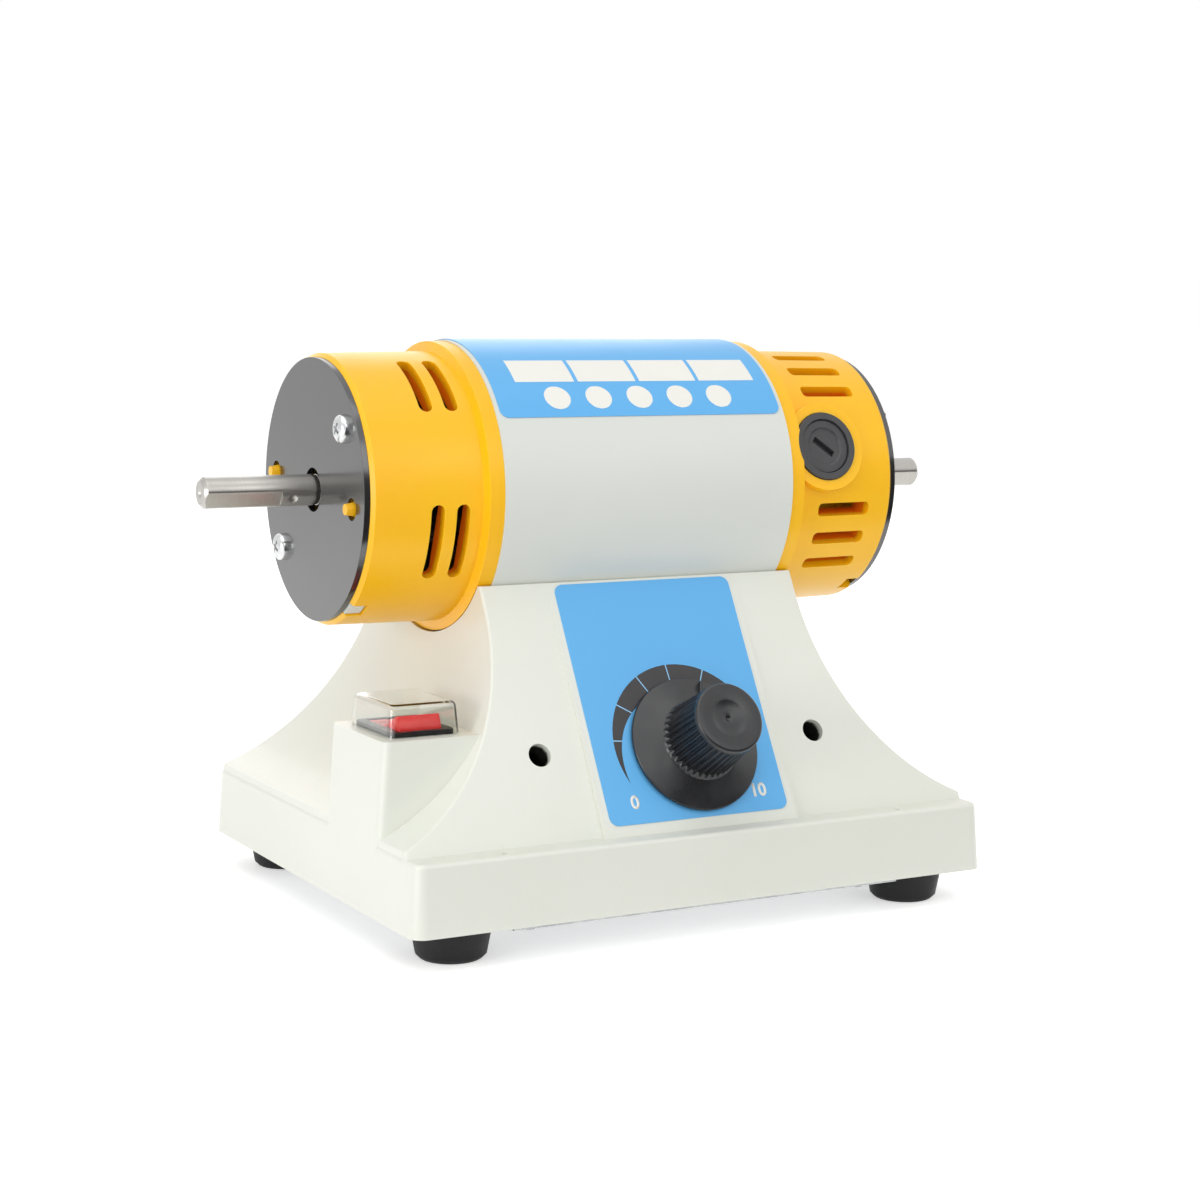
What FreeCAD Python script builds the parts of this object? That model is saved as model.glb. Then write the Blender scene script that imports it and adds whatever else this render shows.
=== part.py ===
import FreeCAD, Part
import math
import os
import re
import Sketcher

# A dental polishing lathe: a two-ended motor in the saddle of a cast base, with a speed knob
# on the sloping front, a covered rocker switch on the left and four rubber feet.
# Millimetres and degrees. X runs along the spindle, -Y is the front, Z is up, and Z = 0 is the bench.

SIZES = {
    # the motor's axis: its height above the bench, and how far it lies behind the middle
    "spindle_height": 136.5,
    "spindle_set_back": 6.0,
    # the spindle: 10 mm ends for the polishing spigots, thicker between its bearings
    "spindle_reach": 37.5,
    "spindle_diameter": 10.0,
    "spindle_body_diameter": 13.0,
    "spindle_chamfer": 1.2,
    "spindle_flat_length": 25.5,
    "spindle_flat_depth": 0.7,
    "spindle_flat_turn": -30.0,
    "spindle_centre_diameter": 3.0,
    "spindle_centre_depth": 1.5,
    "relief_width": 1.5,
    "relief_depth": 0.3,
    "relief_proud": 0.5,
    # the drawn steel drum between the end caps
    "drum_diameter": 95.0,
    "drum_length": 105.8,
    "drum_wall": 2.0,
    # the moulded end caps
    "cap_length": 43.1,
    "flange_inset": 0.5,
    "flange_width": 5.0,
    "flange_step": 1.0,
    "cap_inset": 3.7,
    "cap_taper": 0.5,
    "cap_wall": 3.0,
    "cap_end_wall": 4.0,
    "spigot_depth": 3.0,
    "spigot_wall": 3.5,
    "spigot_fit": 0.05,
    "cap_turn": 16.5,
    "rim_radius": 1.2,
    # the vent slots: two rings of curved slots on the left, straight slots on the right
    "vent_width": 4.5,
    "curved_vent_length": 25.0,
    "curved_vent_turn": 36.5,
    "curved_vent_near": 12.5,
    "curved_vent_pitch": 8.6,
    "straight_vent_length": 20.5,
    "straight_vent_start": 13.4,
    "straight_vent_first_turn": 28.0,
    "straight_vent_pitch": 13.8,
    "straight_vents": 3,
    "straight_vent_corner": 1.5,
    "vent_cut_depth": 8.0,
    # the notch in each cap's rim, and the posts that locate the end discs
    "notch_width": 7.0,
    "notch_length": 6.0,
    "notch_depth": 4.0,
    "notch_turn": -58.0,
    "post_diameter": 4.7,
    "post_hole_diameter": 7.0,
    "post_proud": 2.2,
    "post_inset": 10.0,
    "post_turn": -7.0,
    # the end discs
    "disc_inset": 1.3,
    "disc_thickness": 2.0,
    "disc_bore": 14.0,
    # the two bolts that run the length of the motor
    "tie_bolt_diameter": 5.0,
    "tie_bolt_inset": 3.7,
    "tie_bolt_turn": 38.0,
    "tie_bolt_head_diameter": 9.0,
    "tie_bolt_head_height": 2.8,
    "tie_nut_flats": 8.0,
    "tie_nut_height": 4.0,
    "bolt_clearance": 0.2,
    # the ball bearings
    "bearing_outer_diameter": 30.0,
    "bearing_width": 9.0,
    "bearing_lip": 2.5,
    "bearing_lip_diameter": 26.0,
    "bearing_housing_wall": 3.5,
    "bearing_race": 2.2,
    "bearing_shield": 0.6,
    "running_clearance": 0.3,
    # the stator and its two coils
    "stack_length": 50.0,
    "stator_yoke": 8.5,
    "stator_bore": 45.2,
    "pole_width": 34.0,
    "pole_shoe_thickness": 2.4,
    "pole_shoe_width": 40.0,
    "coil_thickness": 5.8,
    "coil_height": 8.5,
    "coil_rise": 4.8,
    "coil_clearance": 0.3,
    # the armature
    "air_gap": 0.4,
    "armature_slots": 12,
    "armature_slot_width": 4.0,
    "armature_slot_depth": 8.0,
    "winding_gap": 0.9,
    "winding_bore": 15.0,
    "winding_overhang": 11.0,
    "commutator_diameter": 28.0,
    "commutator_length": 19.0,
    "commutator_riser": 3.0,
    "commutator_riser_diameter": 31.0,
    # the cooling fan inside the left cap
    "fan_diameter": 60.0,
    "fan_hub_diameter": 20.0,
    "fan_plate": 1.6,
    "fan_width": 17.0,
    "fan_blade_thickness": 1.6,
    "fan_blades": 9,
    "fan_gap": 8.0,
    # the brush gear in the right cap
    "brush_offset": 15.5,
    "boss_diameter": 30.0,
    "boss_proud": 0.8,
    "boss_depth": 8.0,
    "holder_collar_diameter": 23.0,
    "holder_collar_depth": 3.7,
    "holder_proud": 0.8,
    "holder_diameter": 17.0,
    "holder_inner_reach": 16.0,
    "brush_cap_diameter": 18.2,
    "brush_cap_depth": 2.6,
    "brush_plug_diameter": 13.0,
    "brush_plug_length": 6.5,
    "brush_slot_width": 2.2,
    "brush_slot_length": 11.0,
    "brush_slot_depth": 1.3,
    "brush_side": 6.0,
    "brush_length": 15.0,
    "brush_fit": 0.1,
    "thread_fit": 0.1,
    "spring_diameter": 5.2,
    "spring_wall": 0.7,
    # the printed sheet on the drum
    "motor_label_thickness": 0.25,
    "motor_label_lift": 0.05,
    "motor_label_margin": 1.4,
    "motor_label_start": 30.0,
    "motor_label_turn": 84.0,
    "motor_label_corner": 3.0,
    # the base casting: heights are above its underside
    "plinth_width": 206.4,
    "front_ledge": 8.5,
    "back_ledge": 2.9,
    "plinth_height": 22.0,
    "plinth_draft": 3.9,
    "plinth_corner": 5.0,
    "plinth_edge_radius": 1.5,
    "casting_wall": 4.0,
    "saddle_rim_share": 0.61,
    "saddle_lip": 1.4,
    "saddle_wall": 5.0,
    "saddle_core_turn": 45.0,
    "face_slope": 28.3,
    "saddle_band": 6.5,
    "flare_foot": 24.0,
    "side_ledge": 0.6,
    "face_foot_radius": 2.2,
    "edge_radius": 1.0,
    # the raised ground for the printed sheet on the front
    "pad_slope": 29.4,
    "pad_margin": 2.7,
    # the block that carries the switch
    "block_drop": 42.9,
    "block_front": 59.8,
    "block_back": 18.5,
    "block_corner": 2.5,
    # the two deep holes in the front and the small marks in the ledge
    "front_hole_diameter": 7.5,
    "front_hole_depth": 12.0,
    "front_hole_inset": 7.7,
    "front_hole_rise": 28.2,
    "front_boss_diameter": 15.0,
    "front_boss_depth": 16.0,
    "ledge_mark_diameter": 1.8,
    "ledge_mark_depth": 1.2,
    "ledge_mark_inset": 31.7,
    "ledge_mark_setback": 5.0,
    # feet
    "foot_height": 11.0,
    "foot_top_diameter": 25.4,
    "foot_bottom_diameter": 21.8,
    "foot_edge": 1.6,
    "foot_side_inset": 20.0,
    "foot_end_inset": 17.5,
    "foot_recess_diameter": 9.5,
    "foot_recess_depth": 5.0,
    "foot_boss_diameter": 16.0,
    "post_height": 42.0,
    # screws: one size for the feet, plate, boards and heat plate, one for the motor
    "screw_diameter": 4.0,
    "screw_head_diameter": 7.0,
    "screw_head_height": 2.4,
    "screw_grip": 9.0,
    "mount_screw_diameter": 5.0,
    "mount_screw_head_diameter": 9.0,
    "mount_screw_head_height": 3.0,
    "mount_screw_inset": 10.9,
    "nut_plate_length": 12.0,
    "nut_plate_width": 26.0,
    "nut_plate_thickness": 5.5,
    # the bottom plate
    "plate_thickness": 1.2,
    "plate_inset": 2.3,
    "plate_notch_gap": 1.0,
    "plate_screw_step": 23.2,
    "plate_screw_inset": 12.0,
    "plate_boss_diameter": 10.0,
    # the rubber grommet at the back, where a mains lead would enter
    "grommet_bore": 7.0,
    "grommet_diameter": 11.0,
    "grommet_flange": 15.0,
    "grommet_flange_thickness": 1.6,
    "grommet_fit": 0.05,
    "grommet_station": 55.0,
    "grommet_rise": 11.0,
    # the printed sheet on the front
    "front_label_width": 64.6,
    "front_label_gap": 0.9,
    "front_label_corner": 3.0,
    "front_label_thickness": 0.3,
    "front_label_rise": 3.6,
    "front_label_turn": 0.9,
    # the speed knob and the control that it turns
    "knob_station": 3.4,
    "knob_rise": 27.3,
    "knob_skirt_diameter": 44.4,
    "knob_skirt_rim": 2.6,
    "knob_skirt_rise": 2.2,
    "knob_gap": 0.8,
    "knob_grip_base_diameter": 25.6,
    "knob_grip_top_diameter": 23.0,
    "knob_height": 25.8,
    "knob_dish": 0.7,
    "knob_flutes": 36,
    "knob_flute_depth": 0.9,
    "knob_flute_width": 1.6,
    "knob_recess_diameter": 21.0,
    "knob_recess_depth": 3.6,
    "pointer_width": 1.4,
    "pointer_length": 6.4,
    "pointer_middle": 17.4,
    "pointer_drop": 0.6,
    "pointer_turn": 72.0,
    "insert_diameter": 10.0,
    "insert_length": 14.0,
    "control_diameter": 24.0,
    "control_depth": 9.0,
    "bush_diameter": 9.7,
    "bush_proud": 4.2,
    "control_shaft_diameter": 6.0,
    "control_shaft_length": 27.0,
    "control_fit": 0.05,
    "washer_diameter": 16.0,
    "washer_thickness": 0.6,
    "nut_flats": 14.0,
    "nut_height": 2.2,
    # the rocker switch, its clear cover and its terminals
    "switch_station": 84.0,
    "switch_front": 40.0,
    "bezel_width": 21.0,
    "bezel_length": 28.6,
    "bezel_thickness": 1.6,
    "bezel_corner": 1.8,
    "switch_body_width": 18.8,
    "switch_body_length": 26.4,
    "switch_body_depth": 19.0,
    "switch_fit": 0.2,
    "rocker_width": 14.3,
    "rocker_opening_width": 14.9,
    "rocker_opening_length": 24.6,
    "rocker_opening_depth": 10.5,
    "rocker_radius": 12.0,
    "rocker_corner_turn": 23.6,
    "rocker_lower_turn": 34.0,
    "rocker_dip": 2.6,
    "rocker_tilt": 12.1,
    "rocker_pivot_drop": 1.0,
    "rocker_pin_diameter": 2.4,
    "rocker_pin_length": 1.4,
    "pin_fit": 0.05,
    "cover_width": 24.0,
    "cover_length": 31.6,
    "cover_height": 10.2,
    "cover_wall": 0.8,
    "cover_top_inset": 0.6,
    "cover_corner": 2.4,
    "terminal_width": 4.8,
    "terminal_thickness": 0.8,
    "terminal_length": 8.0,
    "terminal_spacing": 8.0,
    # the electronics on the heat plate and the board
    "heat_plate_margin": 7.8,
    "heat_plate_height": 30.0,
    "heat_plate_thickness": 3.0,
    "triac_width": 10.0,
    "triac_height": 15.0,
    "triac_thickness": 4.5,
    "triac_station": 34.0,
    "board_length": 90.0,
    "board_width": 60.0,
    "board_thickness": 1.6,
    "board_hole_inset": 5.0,
    "standoff_diameter": 6.0,
    "standoff_height": 8.0,
    "capacitor_length": 18.0,
    "capacitor_width": 9.0,
    "capacitor_height": 16.0,
    "choke_diameter": 20.0,
    "choke_bore": 9.0,
    "choke_height": 9.0,
    "terminal_block_length": 24.0,
    "terminal_block_width": 10.0,
    "terminal_block_height": 12.0,
    "component_gap": 6.0,
    # one overrun for every cut that has to run past a face
    "overrun": 2.0,
}

# What follows from the sizes above, so that neighbours keep together when one of them changes.
FOLLOWING = {
    "spindle_length": "2 * (drum_length / 2 + cap_length + disc_thickness + spindle_reach)",
    "flange_diameter": "drum_diameter - 2 * flange_inset",
    "cap_flange_end_diameter": "drum_diameter - 2 * cap_inset",
    "cap_disc_end_diameter": "cap_flange_end_diameter - 2 * cap_taper",
    "disc_diameter": "cap_disc_end_diameter - 2 * disc_inset",
    "post_reach": "disc_diameter / 2 - post_inset",
    "tie_bolt_reach": "drum_diameter / 2 - drum_wall - stator_yoke - tie_bolt_inset",
    "coil_outer_reach": "stator_bore / 2 + coil_rise",
    "armature_diameter": "stator_bore - 2 * air_gap",
    "winding_diameter": "2 * (coil_outer_reach - coil_height - winding_gap)",
    "brush_station": "drum_length / 2 + brush_offset",
    "boss_reach": "cap_flange_end_diameter / 2 + boss_proud",
    "mount_screw_station": "drum_length / 2 - mount_screw_inset",
    "saddle_width": "drum_length + 2 * flange_width",
    "saddle_rim_drop": "saddle_rim_share * drum_diameter / 2",
    "saddle_top": "spindle_height - foot_height - saddle_rim_drop",
    "saddle_top_reach": "sqrt(drum_diameter ^ 2 / 4 - saddle_rim_drop ^ 2) + saddle_lip",
    "flare_top": "saddle_top - saddle_band",
    "plinth_front": "saddle_top_reach + (saddle_top - plinth_height) * tan(pad_slope) + front_ledge",
    "plinth_back": "saddle_top_reach + (saddle_top - plinth_height) * tan(face_slope) + back_ledge",
    "block_top": "saddle_top - block_drop",
    "pad_width": "front_label_width + 2 * pad_margin",
    "front_label_length": "(saddle_top - plinth_height) / cos(pad_slope) - front_label_rise - front_label_gap",
    "front_hole_spacing": "saddle_width - 2 * front_hole_inset",
    "heat_plate_width": "front_hole_spacing + 2 * heat_plate_margin",
    "ledge_mark_spacing": "plinth_width - 2 * ledge_mark_inset",
    "ledge_mark_front": "plinth_front - ledge_mark_setback",
    "foot_spacing": "plinth_width - 2 * foot_side_inset",
    "foot_front": "plinth_front - foot_end_inset",
    "foot_back": "plinth_back - foot_end_inset",
    "plate_screw_spacing": "foot_spacing - 2 * plate_screw_step",
}

doc = FreeCAD.newDocument("polishing_lathe")
sheet = doc.addObject("Spreadsheet::Sheet", "Sizes")
for row, (alias, number) in enumerate(SIZES.items(), start=1):
    sheet.set(f"A{row}", alias)
    sheet.set(f"B{row}", str(number))
    sheet.setAlias(f"B{row}", alias)
doc.recompute()

nodes = []
cuts = []


def bound(text):
    """An expression in which each size's name points at its cell of the sheet."""
    def cell(word):
        if word[0] in FOLLOWING:
            return f"({bound(FOLLOWING[word[0]])})"
        return f"Sizes.{word[0]}" if word[0] in SIZES else word[0]
    return re.sub(r"[a-z][a-z_]+", cell, text)


def value(text):
    """The number that an expression gives."""
    return float(sheet.evalExpression(bound(text)))


def bind(thing, **expressions):
    """Binds properties to the sheet."""
    for name, text in expressions.items():
        thing.setExpression(name, bound(text))


def place(thing, x="0", y="0", z="0", axis=None, turn=None):
    """Puts a piece at its place, with every coordinate bound to the sheet."""
    if axis:
        thing.Placement = FreeCAD.Placement(FreeCAD.Vector(), FreeCAD.Rotation(FreeCAD.Vector(*axis), 1))
        thing.setExpression("Placement.Rotation.Angle", bound(turn))
    for letter, text in (("x", x), ("y", y), ("z", z)):
        if text != "0":
            thing.setExpression(f"Placement.Base.{letter}", bound(text))
    return thing


def keep(thing, label):
    """Gives a finished piece its name and keeps it for the export."""
    thing.Label = label
    nodes.append(thing)
    return thing


def origin(body, role):
    """One of the body's own planes or axes."""
    return [feature for feature in body.Origin.OriginFeatures if feature.Role == role][0]


def new_body(name):
    """An empty body."""
    return doc.addObject("PartDesign::Body", name)


def new_sketch(body, plane):
    """An empty sketch on one of the body's own planes."""
    sketch = body.newObject("Sketcher::SketchObject", f"{body.Name}_sketch")
    sketch.AttachmentSupport = [(origin(body, plane), "")]
    sketch.MapMode = "FlatFace"
    return sketch


def tilted_sketch(body, turn, reach):
    """A sketch square to a spoke of the X axis, at a turn above the front and a reach from the axis."""
    sketch = new_sketch(body, "XY_Plane")
    sketch.AttachmentOffset = FreeCAD.Placement(FreeCAD.Vector(), FreeCAD.Rotation(FreeCAD.Vector(1, 0, 0), 1))
    sketch.setExpression("AttachmentOffset.Rotation.Angle", bound(f"90 - ({turn})"))
    sketch.setExpression("AttachmentOffset.Base.y", bound(f"-({reach}) * cos({turn})"))
    sketch.setExpression("AttachmentOffset.Base.z", bound(f"({reach}) * sin({turn})"))
    return sketch


def raised_sketch(body, height):
    """A sketch square to the Z axis at a height."""
    sketch = new_sketch(body, "XY_Plane")
    sketch.setExpression("AttachmentOffset.Base.z", bound(height))
    return sketch


def bind_distance(sketch, kind, element, end, text):
    """Ties one coordinate of a point to the sheet."""
    constraint = sketch.addConstraint(Sketcher.Constraint(kind, -1, 1, element, end, value(text)))
    sketch.setExpression(f"Constraints[{constraint}]", bound(text))


def draw(sketch, corners, arcs=None):
    """Draws a closed outline: lines between corners, or an arc about a centre after a corner."""
    arcs = arcs or {}
    points = [FreeCAD.Vector(value(x), value(y), 0) for x, y in corners]
    count = len(corners)
    ends = []
    for number, start in enumerate(points):
        stop = points[(number + 1) % count]
        if number not in arcs:
            element = sketch.addGeometry(Part.LineSegment(start, stop))
            ends.append((element, 1, 2))
            continue
        middle = FreeCAD.Vector(*[value(text) for text in arcs[number]], 0)
        first = math.atan2(start.y - middle.y, start.x - middle.x)
        last = math.atan2(stop.y - middle.y, stop.x - middle.x)
        sweep = (last - first) % (2 * math.pi)
        circle = Part.Circle(middle, FreeCAD.Vector(0, 0, 1), (start - middle).Length)
        if sweep <= math.pi + 1e-6:
            element = sketch.addGeometry(Part.ArcOfCircle(circle, first, first + sweep))
            ends.append((element, 1, 2))
        else:
            element = sketch.addGeometry(Part.ArcOfCircle(circle, last, last + 2 * math.pi - sweep))
            ends.append((element, 2, 1))
        bind_distance(sketch, "DistanceX", element, 3, arcs[number][0])
        bind_distance(sketch, "DistanceY", element, 3, arcs[number][1])
    for number, (element, start_end, stop_end) in enumerate(ends):
        follower = ends[(number + 1) % count]
        sketch.addConstraint(Sketcher.Constraint("Coincident", element, stop_end, follower[0], follower[1]))
        before = (number - 1) % count
        kinds = ["DistanceX", "DistanceY"]
        if before in arcs:
            middle = [value(text) for text in arcs[before]]
            across = abs(points[number].x - middle[0]) >= abs(points[number].y - middle[1])
            kinds = ["DistanceY"] if across else ["DistanceX"]
        for kind in kinds:
            text = corners[number][0 if kind == "DistanceX" else 1]
            bind_distance(sketch, kind, element, start_end, text)
    return sketch


def draw_circle(sketch, x, y, diameter):
    """Draws a circle whose centre and diameter are bound to the sheet."""
    middle = FreeCAD.Vector(value(x), value(y), 0)
    element = sketch.addGeometry(Part.Circle(middle, FreeCAD.Vector(0, 0, 1), value(diameter) / 2))
    bind_distance(sketch, "DistanceX", element, 3, x)
    bind_distance(sketch, "DistanceY", element, 3, y)
    constraint = sketch.addConstraint(Sketcher.Constraint("Diameter", element, value(diameter)))
    sketch.setExpression(f"Constraints[{constraint}]", bound(diameter))
    return sketch


def rectangle(x, y, width, length):
    """The corners of a rectangle about a middle."""
    return [(f"({x}) - ({width}) / 2", f"({y}) - ({length}) / 2"),
            (f"({x}) + ({width}) / 2", f"({y}) - ({length}) / 2"),
            (f"({x}) + ({width}) / 2", f"({y}) + ({length}) / 2"),
            (f"({x}) - ({width}) / 2", f"({y}) + ({length}) / 2")]


def rounded_rectangle(left, right, front, back, radius):
    """Corners and arcs of a rectangle with rounded corners."""
    corners = []
    arcs = {}
    turns = ((left, front, 1, 1), (right, front, -1, 1), (right, back, -1, -1), (left, back, 1, -1))
    for number, (x, y, inward_x, inward_y) in enumerate(turns):
        middle = (f"({x}) + {inward_x} * ({radius})", f"({y}) + {inward_y} * ({radius})")
        beside_x = (x, middle[1])
        beside_y = (middle[0], y)
        corners += [beside_x, beside_y] if number % 2 == 0 else [beside_y, beside_x]
        arcs[2 * number] = middle
    return corners, arcs


def stadium(x, y, length, width, along_x=True):
    """Corners and arcs of a slot with round ends."""
    half = f"(({length}) - ({width})) / 2"
    side = f"({width}) / 2"
    corners = []
    for along, across in ((-1, -1), (1, -1), (1, 1), (-1, 1)):
        steps = (f"{along} * {half}", f"{across} * {side}")
        step_x, step_y = steps if along_x else (f"-({steps[1]})", steps[0])
        corners.append((f"({x}) + {step_x}", f"({y}) + {step_y}"))
    arcs = {}
    for number, along in ((1, 1), (3, -1)):
        step = f"{along} * {half}"
        arcs[number] = (f"({x}) + {step}", y) if along_x else (x, f"({y}) + {step}")
    return corners, arcs


def pad(body, sketch, length, symmetric=False, reverse=False, draft=None):
    """Raises a sketch into a solid."""
    feature = body.newObject("PartDesign::Pad", f"{body.Name}_pad")
    feature.Profile = sketch
    bind(feature, Length=length)
    feature.SideType = "Symmetric" if symmetric else "One side"
    feature.Reversed = reverse
    if draft:
        bind(feature, TaperAngle=draft)
    return feature


def pocket(body, sketch, length, symmetric=False, reverse=False):
    """Cuts a sketch into a solid and notes the cut for the check at the end."""
    base = body.Tip
    feature = body.newObject("PartDesign::Pocket", f"{body.Name}_pocket")
    feature.Profile = sketch
    bind(feature, Length=length)
    feature.SideType = "Symmetric" if symmetric else "One side"
    feature.Reversed = reverse
    cuts.append((feature, base))
    return feature


def turn_profile(body, sketch, axis):
    """Turns a sketch about one of its own axes."""
    feature = body.newObject("PartDesign::Revolution", f"{body.Name}_turned")
    feature.Profile = sketch
    feature.ReferenceAxis = (sketch, [axis])
    feature.Angle = 360
    return feature


def repeat(body, features, axis, count):
    """Repeats features round one of the body's axes."""
    feature = body.newObject("PartDesign::PolarPattern", f"{body.Name}_pattern")
    feature.Originals = features
    feature.Axis = (origin(body, axis), [""])
    feature.Angle = 360
    bind(feature, Occurrences=count)
    body.Tip = feature
    return feature


def turned(name, corners, axis="H_Axis"):
    """A body turned from one outline: about X on the spindle, about Z for an upright piece."""
    body = new_body(name)
    turn_profile(body, draw(new_sketch(body, "XZ_Plane"), corners), axis)
    return body


def prism(name, plane, length, corners, arcs=None, symmetric=False, reverse=False, draft=None):
    """A body raised from one outline."""
    body = new_body(name)
    pad(body, draw(new_sketch(body, plane), corners, arcs), length, symmetric, reverse, draft)
    return body


def cylinder(name, diameter, height):
    """An upright cylinder standing on its own origin."""
    thing = doc.addObject("Part::Cylinder", name)
    bind(thing, Radius=f"({diameter}) / 2", Height=height)
    return thing


def box(name, length, width, height):
    """A box with one corner at its own origin."""
    thing = doc.addObject("Part::Box", name)
    bind(thing, Length=length, Width=width, Height=height)
    return thing


def fuse(name, *things):
    """Joins solids into one."""
    thing = doc.addObject("Part::MultiFuse", name)
    thing.Shapes = list(things)
    thing.Refine = True
    return thing


def cut(name, base, *tools):
    """Cuts tools out of a solid and notes the cut for the check at the end."""
    for tool in tools:
        thing = doc.addObject("Part::Cut", name)
        thing.Base = base
        thing.Tool = tool
        thing.Refine = True
        cuts.append((thing, base))
        base = thing
    return base


def overlap(name, first, second):
    """What two solids have in common."""
    thing = doc.addObject("Part::Common", name)
    thing.Base = first
    thing.Tool = second
    return thing


def group(name, things):
    """Like pieces that share one name, as separate solids."""
    thing = doc.addObject("Part::Compound", name)
    thing.Links = things
    return thing


def middle_of(edge):
    """The point half way along an edge."""
    return edge.valueAt((edge.FirstParameter + edge.LastParameter) / 2)


def rounded(name, base, radius, chosen):
    """Rounds the edges of a solid that a test picks out by their middle and their two ends."""
    doc.recompute()
    numbers = [number for number, edge in enumerate(base.Shape.Edges, start=1)
               if chosen(middle_of(edge), edge.Vertexes[0].Point, edge.Vertexes[-1].Point)]
    if not numbers:
        raise RuntimeError(f"{name} found no edge to round")
    thing = doc.addObject("Part::Fillet", name)
    thing.Base = base
    thing.Edges = [(number, value(radius), value(radius)) for number in numbers]
    return thing


def near(number, text):
    """Whether a coordinate lies at an expression's value."""
    return abs(number - value(text)) < 1e-3


def on_spindle(thing):
    """Puts a piece drawn about X = 0 on the motor's axis."""
    return place(thing, "0", "spindle_set_back", "spindle_height")


def screw(name, diameter, head_diameter, head_height, length):
    """A pan-head screw that points down, with the underside of its head at its origin."""
    return turned(name, [("0", f"-({length})"), (f"({diameter}) / 2", f"-({length})"),
                         (f"({diameter}) / 2", "0"), (f"({head_diameter}) / 2", "0"),
                         (f"({head_diameter}) / 2", f"({head_height}) / 2"),
                         (f"({head_diameter}) / 3", head_height), ("0", head_height)], "V_Axis")


def small_screw(name, length):
    """The small screw used all over the base."""
    return screw(name, "screw_diameter", "screw_head_diameter", "screw_head_height", length)


# Places along the spindle, measured from the middle of the motor.
DRUM_END = "(drum_length / 2)"
CAP_END = "(drum_length / 2 + cap_length)"
DISC_FACE = "(drum_length / 2 + cap_length + disc_thickness)"
BEARING_OUTER_FACE = f"({CAP_END} - bearing_lip)"
BEARING_INNER_FACE = f"({CAP_END} - bearing_lip - bearing_width)"

# The drum: a tube whose bore carries the stator and the spigots of both caps.
# Two holes in its underside take the screws that hold it in the saddle.
DRUM_BORE = "(drum_diameter - 2 * drum_wall)"


def make_drum():
    body = turned("drum", [(f"-{DRUM_END}", f"{DRUM_BORE} / 2"), (DRUM_END, f"{DRUM_BORE} / 2"),
                           (DRUM_END, "drum_diameter / 2"), (f"-{DRUM_END}", "drum_diameter / 2")])
    sketch = new_sketch(body, "XY_Plane")
    for side in ("-1", "1"):
        draw_circle(sketch, f"{side} * mount_screw_station", "0", "mount_screw_diameter + 2 * bolt_clearance")
    pocket(body, sketch, "drum_diameter")
    keep(on_spindle(body), "motor_drum")


# The stator: a ring of laminations with two poles, and a coil round the neck of each pole.
YOKE_BORE = f"({DRUM_BORE} - 2 * stator_yoke)"


def make_stator():
    ring = turned("stator_ring", [("-stack_length / 2", f"{YOKE_BORE} / 2"), ("stack_length / 2", f"{YOKE_BORE} / 2"),
                                  ("stack_length / 2", f"{DRUM_BORE} / 2"), ("-stack_length / 2", f"{DRUM_BORE} / 2")])
    necks = prism("stator_necks", "YZ_Plane", "stack_length",
                  rectangle("0", "0", "pole_width", f"{YOKE_BORE} + stator_yoke"), symmetric=True)
    shoes = prism("stator_shoes", "YZ_Plane", "stack_length",
                  rectangle("0", "0", "pole_shoe_width", "stator_bore + 2 * pole_shoe_thickness"), symmetric=True)
    round_shoes = place(cylinder("stator_shoe_round", "stator_bore + 2 * pole_shoe_thickness", "stack_length"),
                        "-stack_length / 2", axis=(0, 1, 0), turn="90")
    bore = place(cylinder("stator_hole", "stator_bore", "stack_length + 2 * overrun"),
                 "-stack_length / 2 - overrun", axis=(0, 1, 0), turn="90")
    poles = fuse("stator_poles", necks, overlap("stator_shoe_arcs", shoes, round_shoes))
    stack = cut("stator", fuse("stator_solid", ring, poles), bore)
    keep(on_spindle(stack), "stator_stack")


def make_field_coil(label, side):
    body = prism(label + "_body", "XY_Plane", "coil_height",
                 *rounded_rectangle("-stack_length / 2 - coil_clearance - coil_thickness",
                                    "stack_length / 2 + coil_clearance + coil_thickness",
                                    "-pole_width / 2 - coil_clearance - coil_thickness",
                                    "pole_width / 2 + coil_clearance + coil_thickness", "coil_thickness"))
    sketch = draw(new_sketch(body, "XY_Plane"),
                  rectangle("0", "0", "stack_length + 2 * coil_clearance", "pole_width + 2 * coil_clearance"))
    pocket(body, sketch, "coil_height", reverse=True)
    lift = "coil_outer_reach - coil_height" if side > 0 else "-coil_outer_reach"
    keep(place(body, "0", "spindle_set_back", f"spindle_height + {lift}"), label)


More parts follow.
